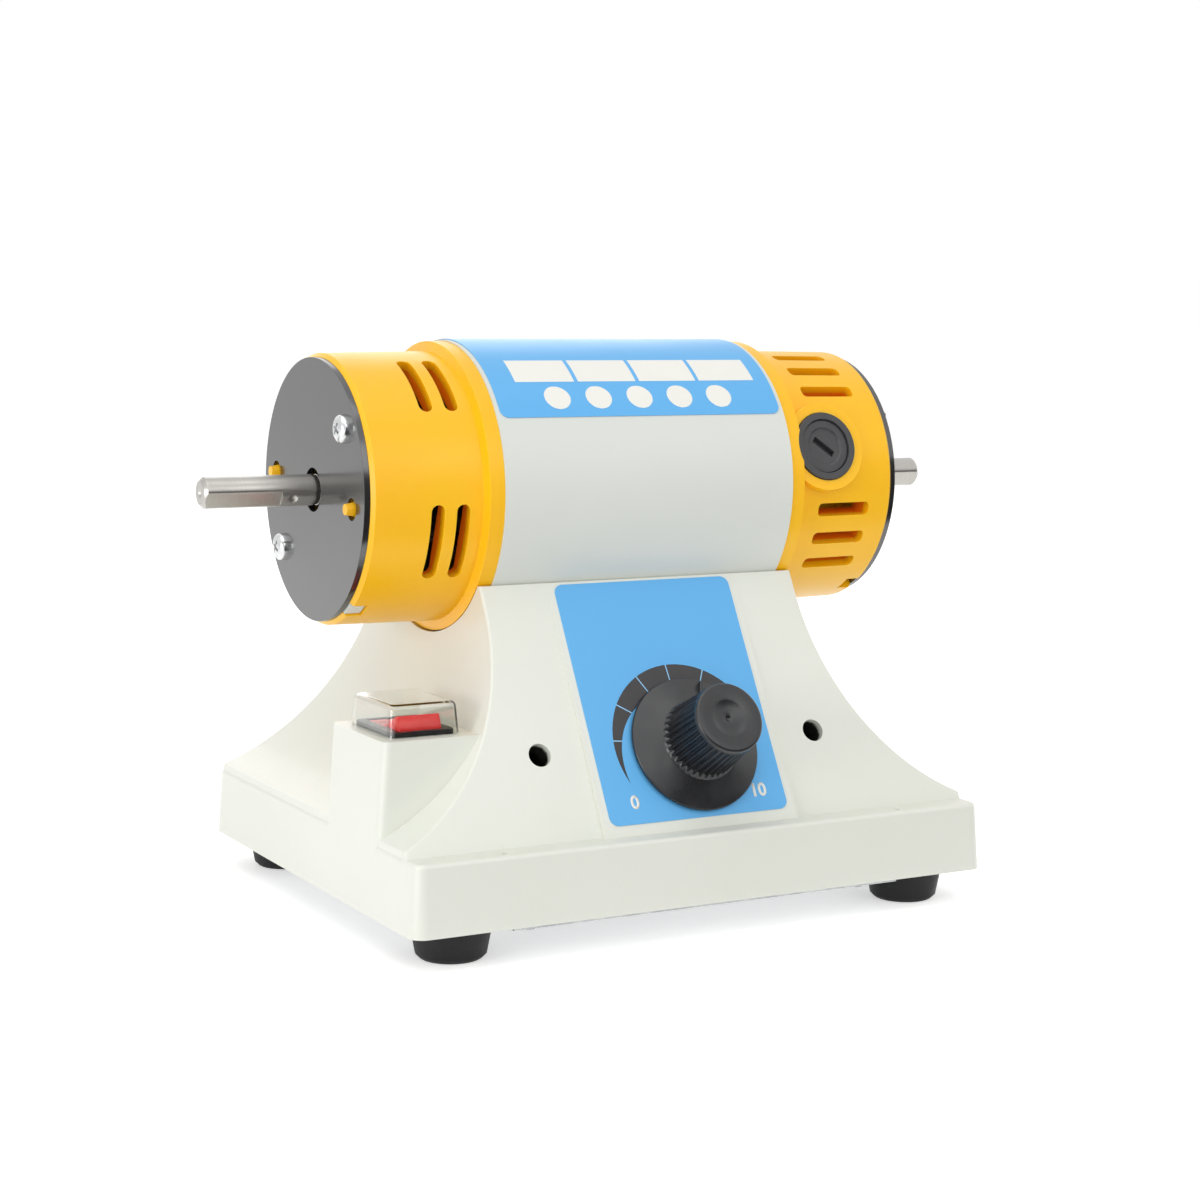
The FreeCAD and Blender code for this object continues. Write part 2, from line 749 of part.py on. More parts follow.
# The turning parts: the spindle, the armature pressed on it, the commutator and the fan.
def make_spindle():
    half = [("spindle_length / 2 - spindle_centre_depth", "0"), ("spindle_length / 2", "spindle_centre_diameter / 2"),
            ("spindle_length / 2", "spindle_diameter / 2 - spindle_chamfer"),
            ("spindle_length / 2 - spindle_chamfer", "spindle_diameter / 2"),
            ("spindle_length / 2 - spindle_flat_length", "spindle_diameter / 2"),
            (f"{DISC_FACE} + relief_proud", "spindle_diameter / 2"),
            (f"{DISC_FACE} + relief_proud", "spindle_diameter / 2 - relief_depth"),
            (f"{DISC_FACE} + relief_proud - relief_width", "spindle_diameter / 2 - relief_depth"),
            (f"{DISC_FACE} + relief_proud - relief_width", "spindle_diameter / 2"),
            (BEARING_INNER_FACE, "spindle_diameter / 2"), (BEARING_INNER_FACE, "spindle_body_diameter / 2")]
    body = turned("spindle_body", [(f"-({x})", r) for x, r in half] + half[::-1])
    for side in ("-1", "1"):
        sketch = tilted_sketch(body, "spindle_flat_turn", "spindle_diameter / 2")
        middle = f"{side} * (spindle_length / 2 + overrun / 2 - spindle_flat_length / 2)"
        draw(sketch, rectangle(middle, "0", "spindle_flat_length + overrun", "spindle_diameter"))
        pocket(body, sketch, "spindle_flat_depth")
    # the ground seat beside the flat stays a face of its own
    for step in body.Group:
        if hasattr(step, "Refine"):
            step.Refine = False
    keep(on_spindle(body), "spindle")


def make_armature():
    stack = turned("armature_body", [("-stack_length / 2", "spindle_body_diameter / 2"),
                                     ("stack_length / 2", "spindle_body_diameter / 2"),
                                     ("stack_length / 2", "armature_diameter / 2"),
                                     ("-stack_length / 2", "armature_diameter / 2")])
    sketch = tilted_sketch(stack, "0", "armature_diameter / 2")
    draw(sketch, rectangle("0", "0", "stack_length + 2 * overrun", "armature_slot_width"))
    slot = pocket(stack, sketch, "armature_slot_depth")
    repeat(stack, [slot], "X_Axis", "armature_slots")
    keep(on_spindle(stack), "armature_stack")
    rings = []
    for side in ("-1", "1"):
        near = f"{side} * stack_length / 2"
        far = f"{side} * (stack_length / 2 + winding_overhang)"
        shoulder = f"{side} * (stack_length / 2 + winding_overhang * 2 / 3)"
        rings.append(turned("winding_ring", [(near, "winding_bore / 2"), (near, "winding_diameter / 2"),
                                             (shoulder, "winding_diameter / 2"), (far, "winding_diameter / 3"),
                                             (far, "winding_bore / 2")]))
    keep(on_spindle(group("windings", rings)), "armature_windings")
    start = "brush_station - commutator_length / 2"
    step = f"{start} - commutator_riser"
    bars = turned("commutator_body", [(step, "spindle_body_diameter / 2"), (step, "commutator_riser_diameter / 2"),
                                      (start, "commutator_riser_diameter / 2"), (start, "commutator_diameter / 2"),
                                      (f"{start} + commutator_length", "commutator_diameter / 2"),
                                      (f"{start} + commutator_length", "spindle_body_diameter / 2")])
    keep(on_spindle(bars), "commutator")


def make_fan():
    inner = f"-({DRUM_END} + fan_gap)"
    outer = f"-({DRUM_END} + fan_gap + fan_width)"
    plate = f"-({DRUM_END} + fan_gap + fan_plate)"
    body = turned("fan_body", [(inner, "spindle_body_diameter / 2"), (inner, "fan_diameter / 2"),
                               (plate, "fan_diameter / 2"), (plate, "fan_hub_diameter / 2"),
                               (outer, "fan_hub_diameter / 2"), (outer, "spindle_body_diameter / 2")])
    sketch = new_sketch(body, "XZ_Plane")
    draw(sketch, [(plate, "fan_hub_diameter / 2 - fan_blade_thickness"), (plate, "fan_diameter / 2"),
                  (f"({plate} + ({outer})) / 2", "fan_diameter / 2"), (outer, "fan_diameter / 2 - fan_width / 3"),
                  (outer, "fan_hub_diameter / 2 - fan_blade_thickness")])
    blade = pad(body, sketch, "fan_blade_thickness", symmetric=True)
    repeat(body, [blade], "X_Axis", "fan_blades")
    keep(on_spindle(body), "cooling_fan")


# A ball bearing at each end: the outer ring with its shields in the cap, the inner ring on the spindle.
def make_bearing(side_name, side):
    outer_face = f"{side} * {BEARING_OUTER_FACE}"
    inner_face = f"{side} * {BEARING_INNER_FACE}"
    shield = f"{side} * bearing_shield"
    rim = "bearing_outer_diameter / 2"
    track = "bearing_outer_diameter / 2 - bearing_race"
    lip = "spindle_diameter / 2 + bearing_race + running_clearance"
    outer = turned("bearing_outer", [(inner_face, rim), (outer_face, rim), (outer_face, lip),
                                     (f"{outer_face} - {shield}", lip), (f"{outer_face} - {shield}", track),
                                     (f"{inner_face} + {shield}", track), (f"{inner_face} + {shield}", lip),
                                     (inner_face, lip)])
    keep(on_spindle(outer), f"{side_name}_bearing_outer")
    inner = turned("bearing_inner", [(inner_face, "spindle_diameter / 2"), (outer_face, "spindle_diameter / 2"),
                                     (outer_face, "spindle_diameter / 2 + bearing_race"),
                                     (inner_face, "spindle_diameter / 2 + bearing_race")])
    keep(on_spindle(inner), f"{side_name}_bearing_inner")


# The end caps: one moulded shell each, open to the drum, with a bearing seat in the end wall,
# two posts through the end disc, holes for the tie bolts, a notch in the rim, and the vents.
def cap_shell(name, side):
    flange_step = f"{side} * ({DRUM_END} + flange_width)"
    wall_start = f"{side} * ({DRUM_END} + flange_width + flange_step)"
    end = f"{side} * {CAP_END}"
    end_inside = f"{side} * ({CAP_END} - cap_end_wall)"
    drum_face = f"{side} * {DRUM_END}"
    spigot = f"{side} * ({DRUM_END} - spigot_depth)"
    seat = f"{side} * {BEARING_OUTER_FACE}"
    mouth = f"{side} * {BEARING_INNER_FACE}"
    inside_near = "cap_flange_end_diameter / 2 - cap_wall"
    inside_far = "cap_disc_end_diameter / 2 - cap_wall"
    housing = "bearing_outer_diameter / 2 + bearing_housing_wall"
    body = turned(name, [(end, "bearing_lip_diameter / 2"), (end, "cap_disc_end_diameter / 2 - rim_radius"),
                         (f"{end} - {side} * rim_radius", "cap_disc_end_diameter / 2"),
                         (wall_start, "cap_flange_end_diameter / 2"), (flange_step, "flange_diameter / 2"),
                         (drum_face, "flange_diameter / 2"), (drum_face, f"{DRUM_BORE} / 2 - spigot_fit"),
                         (spigot, f"{DRUM_BORE} / 2 - spigot_fit"), (spigot, f"{DRUM_BORE} / 2 - spigot_wall"),
                         (wall_start, inside_near), (end_inside, inside_far), (end_inside, housing),
                         (mouth, housing), (mouth, "bearing_outer_diameter / 2"),
                         (seat, "bearing_outer_diameter / 2"), (seat, "bearing_lip_diameter / 2")])
    posts = new_sketch(body, "YZ_Plane")
    bolts = new_sketch(body, "YZ_Plane")
    for opposite in ("", " + 180"):
        draw_circle(posts, f"-post_reach * cos(post_turn{opposite})", f"post_reach * sin(post_turn{opposite})",
                    "post_diameter")
        draw_circle(bolts, f"-tie_bolt_reach * cos(tie_bolt_turn{opposite})",
                    f"tie_bolt_reach * sin(tie_bolt_turn{opposite})", "tie_bolt_diameter + 2 * bolt_clearance")
    outward = side == "-1"
    posts.setExpression("AttachmentOffset.Base.z", bound(f"{side} * ({CAP_END} - cap_end_wall / 2)"))
    pad(body, posts, "cap_end_wall / 2 + disc_thickness + post_proud", reverse=outward)
    pocket(body, bolts, f"2 * {CAP_END} + overrun", symmetric=True)
    notch = tilted_sketch(body, "notch_turn", "cap_disc_end_diameter / 2 + overrun")
    draw(notch, rectangle(f"{side} * ({CAP_END} - notch_length / 2 + overrun / 2)", "0",
                          "notch_length + overrun", "notch_width"))
    pocket(body, notch, "notch_depth + overrun")
    return body


def cut_vent(body, turn, outline):
    """One vent slot through the cap's wall, square to the spoke that it lies on."""
    sketch = tilted_sketch(body, turn, "cap_flange_end_diameter / 2 + overrun")
    draw(sketch, *outline)
    return pocket(body, sketch, "vent_cut_depth + overrun")


def make_left_cap():
    body = cap_shell("left_cap_body", "-1")
    vents = []
    for direction in ("-1", "1"):
        for ring in ("0", "1"):
            middle = f"{DRUM_END} + curved_vent_near + {ring} * curved_vent_pitch"
            turn = f"cap_turn + {direction} * curved_vent_turn"
            outline = stadium(f"-({middle})", "0", "curved_vent_length", "vent_width", False)
            vents.append(cut_vent(body, turn, outline))
    repeat(body, vents, "X_Axis", "2")
    keep(on_spindle(body), "left_end_cap")


def make_right_cap():
    body = cap_shell("right_cap_body", "1")
    boss = tilted_sketch(body, "cap_turn", "boss_reach")
    draw_circle(boss, "brush_station", "0", "boss_diameter")
    bosses = [pad(body, boss, "boss_depth", reverse=True)]
    for diameter, depth in (("holder_collar_diameter + 2 * bolt_clearance", "holder_collar_depth - holder_proud"),
                            ("holder_diameter + 2 * bolt_clearance", "boss_reach / 2")):
        hole = tilted_sketch(body, "cap_turn", "flange_diameter / 2 + overrun")
        draw_circle(hole, "brush_station", "0", diameter)
        bosses.append(pocket(body, hole, f"flange_diameter / 2 + overrun - boss_reach + {depth}"))
    repeat(body, bosses, "X_Axis", "2")
    vents = []
    start = f"({DRUM_END} + straight_vent_start)"
    for direction in ("-1", "1"):
        for number in range(int(value("straight_vents"))):
            turn = f"cap_turn + {direction} * (straight_vent_first_turn + {number} * straight_vent_pitch)"
            outline = rounded_rectangle(start, f"{start} + straight_vent_length", "-vent_width / 2",
                                        "vent_width / 2", "straight_vent_corner")
            vents.append(cut_vent(body, turn, outline))
    repeat(body, vents, "X_Axis", "2")
    keep(on_spindle(body), "right_end_cap")


def make_end_disc(label, side):
    body = new_body(label + "_body")
    sketch = new_sketch(body, "YZ_Plane")
    draw_circle(sketch, "0", "0", "disc_diameter")
    draw_circle(sketch, "0", "0", "disc_bore")
    for opposite in ("", " + 180"):
        draw_circle(sketch, f"-post_reach * cos(post_turn{opposite})", f"post_reach * sin(post_turn{opposite})",
                    "post_hole_diameter")
        draw_circle(sketch, f"-tie_bolt_reach * cos(tie_bolt_turn{opposite})",
                    f"tie_bolt_reach * sin(tie_bolt_turn{opposite})", "tie_bolt_diameter + 2 * bolt_clearance")
    pad(body, sketch, "disc_thickness", reverse=side == "-1")
    keep(place(body, f"{side} * {CAP_END}", "spindle_set_back", "spindle_height"), label)


# The tie bolts run through both discs, both caps and the gap between the coils and the yoke.
def make_tie_bolts():
    bolts = []
    nuts = []
    for opposite in ("", " + 180"):
        bolt = screw("tie_bolt", "tie_bolt_diameter", "tie_bolt_head_diameter", "tie_bolt_head_height",
                     f"2 * {DISC_FACE} + tie_nut_height")
        across = f"spindle_set_back - tie_bolt_reach * cos(tie_bolt_turn{opposite})"
        up = f"spindle_height + tie_bolt_reach * sin(tie_bolt_turn{opposite})"
        bolts.append(place(bolt, f"-{DISC_FACE}", across, up, axis=(0, -1, 0), turn="90"))
        nut = hexagon("tie_nut", "tie_nut_flats", "tie_bolt_diameter", "tie_nut_height")
        nuts.append(place(nut, DISC_FACE, across, up, axis=(0, 1, 0), turn="90"))
    keep(group("tie_bolt_pair", bolts), "tie_bolts")
    keep(group("tie_nut_pair", nuts), "tie_bolt_nuts")


def hexagon(name, flats, bore, height):
    """A hexagon nut standing on its own origin."""
    body = new_body(name)
    sketch = new_sketch(body, "XY_Plane")
    corners = [(f"({flats}) / sqrt(3) * cos({60 * number})", f"({flats}) / sqrt(3) * sin({60 * number})")
               for number in range(6)]
    draw(sketch, corners)
    draw_circle(sketch, "0", "0", bore)
    pad(body, sketch, height)
    return body


# The brush gear, drawn about an upright axis and laid on its spoke of the motor. Heights are reaches.
HOLDER_FACE = "(boss_reach + holder_proud)"
BRUSH_START = "(commutator_diameter / 2 + running_clearance)"
PLUG_END = f"({HOLDER_FACE} - brush_cap_depth - brush_plug_length)"


def lay_on_spoke(thing, opposite):
    """Lays a piece of the brush gear on the front spoke or on the opposite one."""
    turn = "90 - cap_turn" if not opposite else "270 - cap_turn"
    return place(thing, "brush_station", "spindle_set_back", "spindle_height", axis=(1, 0, 0), turn=turn)


def make_brush_gear(place_name, opposite):
    holder = new_body("brush_holder")
    collar = f"{HOLDER_FACE} - holder_collar_depth"
    plug_bore = "brush_plug_diameter / 2 + thread_fit"
    turn_profile(holder, draw(new_sketch(holder, "XZ_Plane"), [
        ("0", "holder_inner_reach"), ("holder_diameter / 2", "holder_inner_reach"), ("holder_diameter / 2", collar),
        ("holder_collar_diameter / 2", collar), ("holder_collar_diameter / 2", HOLDER_FACE),
        ("brush_cap_diameter / 2 + thread_fit", HOLDER_FACE),
        ("brush_cap_diameter / 2 + thread_fit", f"{HOLDER_FACE} - brush_cap_depth"),
        (plug_bore, f"{HOLDER_FACE} - brush_cap_depth"), (plug_bore, PLUG_END), ("0", PLUG_END)]), "V_Axis")
    channel = raised_sketch(holder, PLUG_END)
    draw(channel, rectangle("0", "0", "brush_side + 2 * brush_fit", "brush_side + 2 * brush_fit"))
    pocket(holder, channel, f"{PLUG_END} - holder_inner_reach + overrun")
    keep(lay_on_spoke(holder, opposite), f"brush_holder_{place_name}")

    cap = new_body("brush_cap")
    turn_profile(cap, draw(new_sketch(cap, "XZ_Plane"), [
        ("0", PLUG_END), ("brush_plug_diameter / 2", PLUG_END),
        ("brush_plug_diameter / 2", f"{HOLDER_FACE} - brush_cap_depth"),
        ("brush_cap_diameter / 2", f"{HOLDER_FACE} - brush_cap_depth"),
        ("brush_cap_diameter / 2", HOLDER_FACE), ("0", HOLDER_FACE)]), "V_Axis")
    slot = raised_sketch(cap, HOLDER_FACE)
    draw(slot, *stadium("0", "0", "brush_slot_length", "brush_slot_width"))
    pocket(cap, slot, "brush_slot_depth")
    keep(lay_on_spoke(cap, opposite), f"brush_cap_{place_name}")

    brush = new_body("carbon_brush")
    pad(brush, draw(raised_sketch(brush, BRUSH_START), rectangle("0", "0", "brush_side", "brush_side")),
        "brush_length")
    keep(lay_on_spoke(brush, opposite), f"carbon_brush_{place_name}")

    spring = new_body("brush_spring")
    sketch = raised_sketch(spring, f"{BRUSH_START} + brush_length")
    draw_circle(sketch, "0", "0", "spring_diameter")
    draw_circle(sketch, "0", "0", "spring_diameter - 2 * spring_wall")
    pad(spring, sketch, f"{PLUG_END} - {BRUSH_START} - brush_length")
    keep(lay_on_spoke(spring, opposite), f"brush_spring_{place_name}")


# The printed sheet wrapped round the top of the drum.
def make_motor_label():
    body = new_body("motor_sheet")
    sketch = new_sketch(body, "YZ_Plane")
    inner = "(drum_diameter / 2 + motor_label_lift)"
    outer = "(drum_diameter / 2 + motor_label_lift + motor_label_thickness)"
    last = "(motor_label_start + motor_label_turn)"
    draw(sketch, [(f"-{inner} * cos(motor_label_start)", f"{inner} * sin(motor_label_start)"),
                  (f"-{outer} * cos(motor_label_start)", f"{outer} * sin(motor_label_start)"),
                  (f"-{outer} * cos({last})", f"{outer} * sin({last})"),
                  (f"-{inner} * cos({last})", f"{inner} * sin({last})")],
         {1: ("0", "0"), 3: ("0", "0")})
    pad(body, sketch, "drum_length - 2 * motor_label_margin", symmetric=True)
    sheet = rounded("motor_label_rounded", body, "motor_label_corner", lambda middle, start, end:
                    start.distanceToPoint(end) < value("2 * motor_label_thickness") and abs(start.x - end.x) < 1e-3)
    keep(on_spindle(sheet), "motor_label")


# Levels and reaches of the base. The sloping faces are alike at the front and the back.
LEDGE = "(foot_height + plinth_height)"
SADDLE_TOP = "(foot_height + saddle_top)"
FACE_RUN = "((saddle_top - plinth_height) * tan(face_slope))"
FACE_FOOT = f"(saddle_top_reach + {FACE_RUN})"
PAD_FOOT = "(saddle_top_reach + (saddle_top - plinth_height) * tan(pad_slope))"
WALL_ACROSS = "(casting_wall / cos(face_slope))"
PLINTH_SIDE = "(plinth_width / 2 - plinth_height * tan(plinth_draft))"
FLARE_OUT = f"({PLINTH_SIDE} - side_ledge - saddle_width / 2)"
FLARE_UP = "(flare_top - flare_foot)"
FLARE_RADIUS = f"(({FLARE_OUT} ^ 2 + {FLARE_UP} ^ 2) / (2 * {FLARE_OUT}))"
BLOCK_TOP = "(foot_height + block_top)"


def flared_outline(inset, bottom, top):
    """The front outline of the casting's upper part, drawn in from its surface by an inset."""
    arc_x = f"(saddle_width / 2 + {FLARE_RADIUS})"
    arc_z = "(foot_height + flare_top)"
    foot_z = "(foot_height + flare_foot)"
    foot_x = f"({arc_x} - sqrt(({FLARE_RADIUS} + {inset}) ^ 2 - {FLARE_UP} ^ 2))"
    neck_x = f"(saddle_width / 2 - {inset})"
    corners = [(f"-{foot_x}", bottom), (foot_x, bottom), (foot_x, foot_z), (neck_x, arc_z), (neck_x, top),
               (f"-{neck_x}", top), (f"-{neck_x}", arc_z), (f"-{foot_x}", foot_z)]
    return corners, {2: (arc_x, arc_z), 6: (f"-{arc_x}", arc_z)}


def behind(reach):
    """A Y coordinate behind the motor's axis."""
    return f"spindle_set_back + {reach}"


def ahead(reach):
    """A Y coordinate in front of the motor's axis."""
    return f"spindle_set_back - {reach}"


def on_face(thing, across, up, out, foot, slope, turn="0"):
    """Puts an upright piece square on a sloping front face, at a height up the slope and a step out of it."""
    y = f"spindle_set_back - {foot} + ({up}) * sin({slope}) - ({out}) * cos({slope})"
    z = f"{LEDGE} + ({up}) * cos({slope}) + ({out}) * sin({slope})"
    return place(thing, across, y, z, axis=(1, 0, 0), turn=f"90 - {slope}")


def on_back(thing, out):
    """Puts an upright piece square on the back wall of the plinth, where a mains lead would enter."""
    y = f"plinth_back - grommet_rise * tan(plinth_draft) + ({out}) * cos(plinth_draft)"
    z = f"foot_height + grommet_rise + ({out}) * sin(plinth_draft)"
    return place(thing, "grommet_station", behind(f"({y})"), z, axis=(1, 0, 0), turn="-90 + plinth_draft")


def casting_outside():
    """The outside of the casting: plinth, flared body, label ground and switch block."""
    depth = "plinth_front + plinth_back"
    middle = "foot_height + plinth_height / 2"
    plinth = prism("plinth", "XY_Plane", "plinth_height",
                   *rounded_rectangle("-plinth_width / 2", "plinth_width / 2", ahead("plinth_front"),
                                      behind("plinth_back"), "plinth_corner"), draft="-plinth_draft")
    place(plinth, z="foot_height")
    plinth = rounded("plinth_rounded", plinth, "plinth_edge_radius",
                     lambda middle, start, end: near(start.z, LEDGE) and near(end.z, LEDGE))
    front_view = prism("flared_front_view", "XZ_Plane", f"2 * ({depth})",
                       *flared_outline("0", middle, SADDLE_TOP), symmetric=True)
    side_view = prism("sloping_side_view", "YZ_Plane", "plinth_width",
                      [(ahead(FACE_FOOT), middle), (behind(FACE_FOOT), middle), (behind(FACE_FOOT), LEDGE),
                       (behind("saddle_top_reach"), SADDLE_TOP), (ahead("saddle_top_reach"), SADDLE_TOP),
                       (ahead(FACE_FOOT), LEDGE)], symmetric=True)
    upper = overlap("flared_body", front_view, side_view)
    upper = rounded("flared_body_rounded", upper, "edge_radius", lambda middle, start, end:
                    abs(middle.x) > value("saddle_width / 2 - edge_radius")
                    and middle.z > value(LEDGE) and abs(start.z - end.z) > value("edge_radius"))
    ground = prism("label_ground", "YZ_Plane", "pad_width",
                   [(ahead("saddle_top_reach"), SADDLE_TOP), (ahead(PAD_FOOT), LEDGE),
                    (ahead(PAD_FOOT), middle), (ahead("saddle_top_reach"), middle)], symmetric=True)
    side_at = "(plinth_width / 2 - ({0}) * tan(plinth_draft))"
    block = prism("switch_block", "XZ_Plane", "block_front - block_back",
                  [("-" + side_at.format("plinth_height / 2"), middle), ("-saddle_width / 2", middle),
                   ("-saddle_width / 2", BLOCK_TOP), ("-" + side_at.format("block_top"), BLOCK_TOP)])
    place(block, y=ahead("block_back"))
    block = rounded("switch_block_rounded", block, "block_corner", lambda middle, start, end:
                    middle.x < value("-saddle_width / 2 - block_corner") and middle.z > value(LEDGE)
                    and abs(start.z - end.z) > value("block_corner"))
    return fuse("casting_outside", plinth, upper, ground, block)


def casting_inside():
    """The hollow of the casting, one wall thickness inside it and open below."""
    roof = f"{LEDGE} - casting_wall"
    inset = "casting_wall"
    plinth = prism("plinth_core", "XY_Plane", "plinth_height - casting_wall + overrun",
                   *rounded_rectangle(f"-plinth_width / 2 + {inset}", f"plinth_width / 2 - {inset}",
                                      ahead(f"(plinth_front - {inset})"), behind(f"(plinth_back - {inset})"),
                                      "plinth_corner"), draft="-plinth_draft")
    place(plinth, z="foot_height - overrun")
    saddle_radius = "(drum_diameter / 2 + saddle_wall)"
    shoulder_z = f"(spindle_height - {saddle_radius} * sin(saddle_core_turn))"
    bottom = f"{roof} - overrun"
    inner_at = f"({FACE_FOOT} - (({{0}}) - {LEDGE}) * tan(face_slope) - {WALL_ACROSS})"
    low = inner_at.format(bottom)
    shoulder = inner_at.format(shoulder_z)
    arc_y = f"{saddle_radius} * cos(saddle_core_turn)"
    front_view = prism("core_front_view", "XZ_Plane", "2 * (plinth_front + plinth_back)",
                       *flared_outline(inset, bottom, SADDLE_TOP), symmetric=True)
    side_view = prism("core_side_view", "YZ_Plane", "plinth_width",
                      [(ahead(low), bottom), (behind(low), bottom), (behind(shoulder), shoulder_z),
                       (behind(f"({arc_y})"), shoulder_z), ("spindle_set_back", f"spindle_height - {saddle_radius}"),
                       (ahead(f"({arc_y})"), shoulder_z), (ahead(shoulder), shoulder_z)],
                      {3: ("spindle_set_back", "spindle_height"), 4: ("spindle_set_back", "spindle_height")},
                      symmetric=True)
    upper = overlap("upper_core", front_view, side_view)
    left = "-(plinth_width / 2 - block_top * tan(plinth_draft) - casting_wall)"
    right = "-(saddle_width / 2 + casting_wall)"
    block = prism("block_core", "XZ_Plane", "block_front - block_back - 2 * casting_wall",
                  [(left, bottom), (right, bottom), (right, f"{BLOCK_TOP} - casting_wall"),
                   (left, f"{BLOCK_TOP} - casting_wall")])
    place(block, y=ahead("(block_back + casting_wall)"))
    return fuse("casting_inside", plinth, upper, block)


FOOT_PLACES = {"front_left": ("-foot_spacing / 2", ahead("foot_front")),
               "front_right": ("foot_spacing / 2", ahead("foot_front")),
               "back_left": ("-foot_spacing / 2", behind("foot_back")),
               "back_right": ("foot_spacing / 2", behind("foot_back"))}
PLATE_SCREW_PLACES = [(f"{side} * plate_screw_spacing / 2", y) for side in ("-1", "1")
                      for y in (ahead("(plinth_front - plate_screw_inset)"),
                                behind("(plinth_back - plate_screw_inset)"))]
SCREW_HOLE = "screw_diameter + 2 * bolt_clearance"


def make_casting():
    outside = casting_outside()
    bosses = []
    holes = []
    for x, y in FOOT_PLACES.values():
        bosses.append(place(cylinder("foot_boss", "foot_boss_diameter", "post_height"), x, y, "foot_height"))
        holes.append(place(cylinder("foot_screw_hole", SCREW_HOLE, "screw_grip + 2 * overrun"),
                           x, y, "foot_height - overrun"))
    for x, y in PLATE_SCREW_PLACES:
        bosses.append(place(cylinder("plate_boss", "plate_boss_diameter", "post_height"), x, y, "foot_height"))
        holes.append(place(cylinder("plate_screw_hole", SCREW_HOLE, "screw_grip + 2 * overrun"),
                           x, y, "foot_height - overrun"))
    for side in ("-1", "1"):
        across = f"{side} * front_hole_spacing / 2"
        bosses.append(on_face(cylinder("front_boss", "front_boss_diameter", "front_boss_depth - casting_wall / 2"),
                              across, "front_hole_rise", "-front_boss_depth", FACE_FOOT, "face_slope"))
        holes.append(on_face(cylinder("front_hole", "front_hole_diameter", "front_hole_depth + overrun"),
                             across, "front_hole_rise", "-front_hole_depth", FACE_FOOT, "face_slope"))
        holes.append(on_face(cylinder("front_screw_hole", SCREW_HOLE, "front_boss_depth + overrun"),
                             across, "front_hole_rise", "-front_boss_depth - overrun", FACE_FOOT, "face_slope"))
        holes.append(place(cylinder("ledge_mark", "ledge_mark_diameter", "ledge_mark_depth + overrun"),
                           f"{side} * ledge_mark_spacing / 2", ahead("ledge_mark_front"),
                           f"{LEDGE} - ledge_mark_depth"))
        holes.append(place(cylinder("mount_hole", "mount_screw_diameter + 2 * bolt_clearance",
                                    "saddle_wall + 2 * overrun"),
                           f"{side} * mount_screw_station", "spindle_set_back",
                           "spindle_height - drum_diameter / 2 - saddle_wall - overrun"))
    holes.append(place(cylinder("saddle_cut", "drum_diameter", "saddle_width + 2 * overrun"),
                       "-saddle_width / 2 - overrun", "spindle_set_back", "spindle_height",
                       axis=(0, 1, 0), turn="90"))
    holes.append(on_face(cylinder("control_hole", "bush_diameter + 2 * bolt_clearance", "casting_wall + 2 * overrun"),
                         "knob_station", "knob_rise", "-casting_wall - overrun", PAD_FOOT, "pad_slope"))
    holes.append(on_face(cylinder("control_seat", "control_diameter + 2 * bolt_clearance", "control_depth"),
                         "knob_station", "knob_rise", "-casting_wall - control_depth", PAD_FOOT, "pad_slope"))
    holes.append(place(box("switch_hole", "switch_body_width + 2 * switch_fit",
                           "switch_body_length + 2 * switch_fit", "casting_wall + 2 * overrun"),
                       "-switch_station - switch_body_width / 2 - switch_fit",
                       ahead("(switch_front + switch_body_length / 2 + switch_fit)"),
                       f"{BLOCK_TOP} - casting_wall - overrun"))
    holes.append(on_back(cylinder("grommet_hole", "grommet_diameter + 2 * grommet_fit", "casting_wall + 2 * overrun"),
                         "-casting_wall - overrun"))
    shell = cut("casting_shell", outside, casting_inside())
    inner_bosses = overlap("inner_bosses", outside, fuse("boss_solids", *bosses))
    whole = fuse("casting_with_bosses", shell, inner_bosses)
    keep(cut("finished_casting", whole, fuse("casting_holes", *holes)), "base_casting")


def make_feet():
    foot_screws = []
    corners = [("screw_diameter / 2", "foot_recess_depth"), ("foot_recess_diameter / 2", "foot_recess_depth"),
               ("foot_recess_diameter / 2", "0"), ("foot_bottom_diameter / 2 - foot_edge", "0"),
               ("foot_bottom_diameter / 2", "foot_edge"), ("foot_top_diameter / 2", "foot_height"),
               ("screw_diameter / 2", "foot_height")]
    for name, (x, y) in FOOT_PLACES.items():
        keep(place(turned("foot", corners, "V_Axis"), x, y), f"foot_{name}")
        screw_body = small_screw("foot_screw", "foot_height - foot_recess_depth + screw_grip")
        foot_screws.append(place(screw_body, x, y, "foot_recess_depth", axis=(1, 0, 0), turn="180"))
    keep(group("foot_screw_set", foot_screws), "foot_screws")


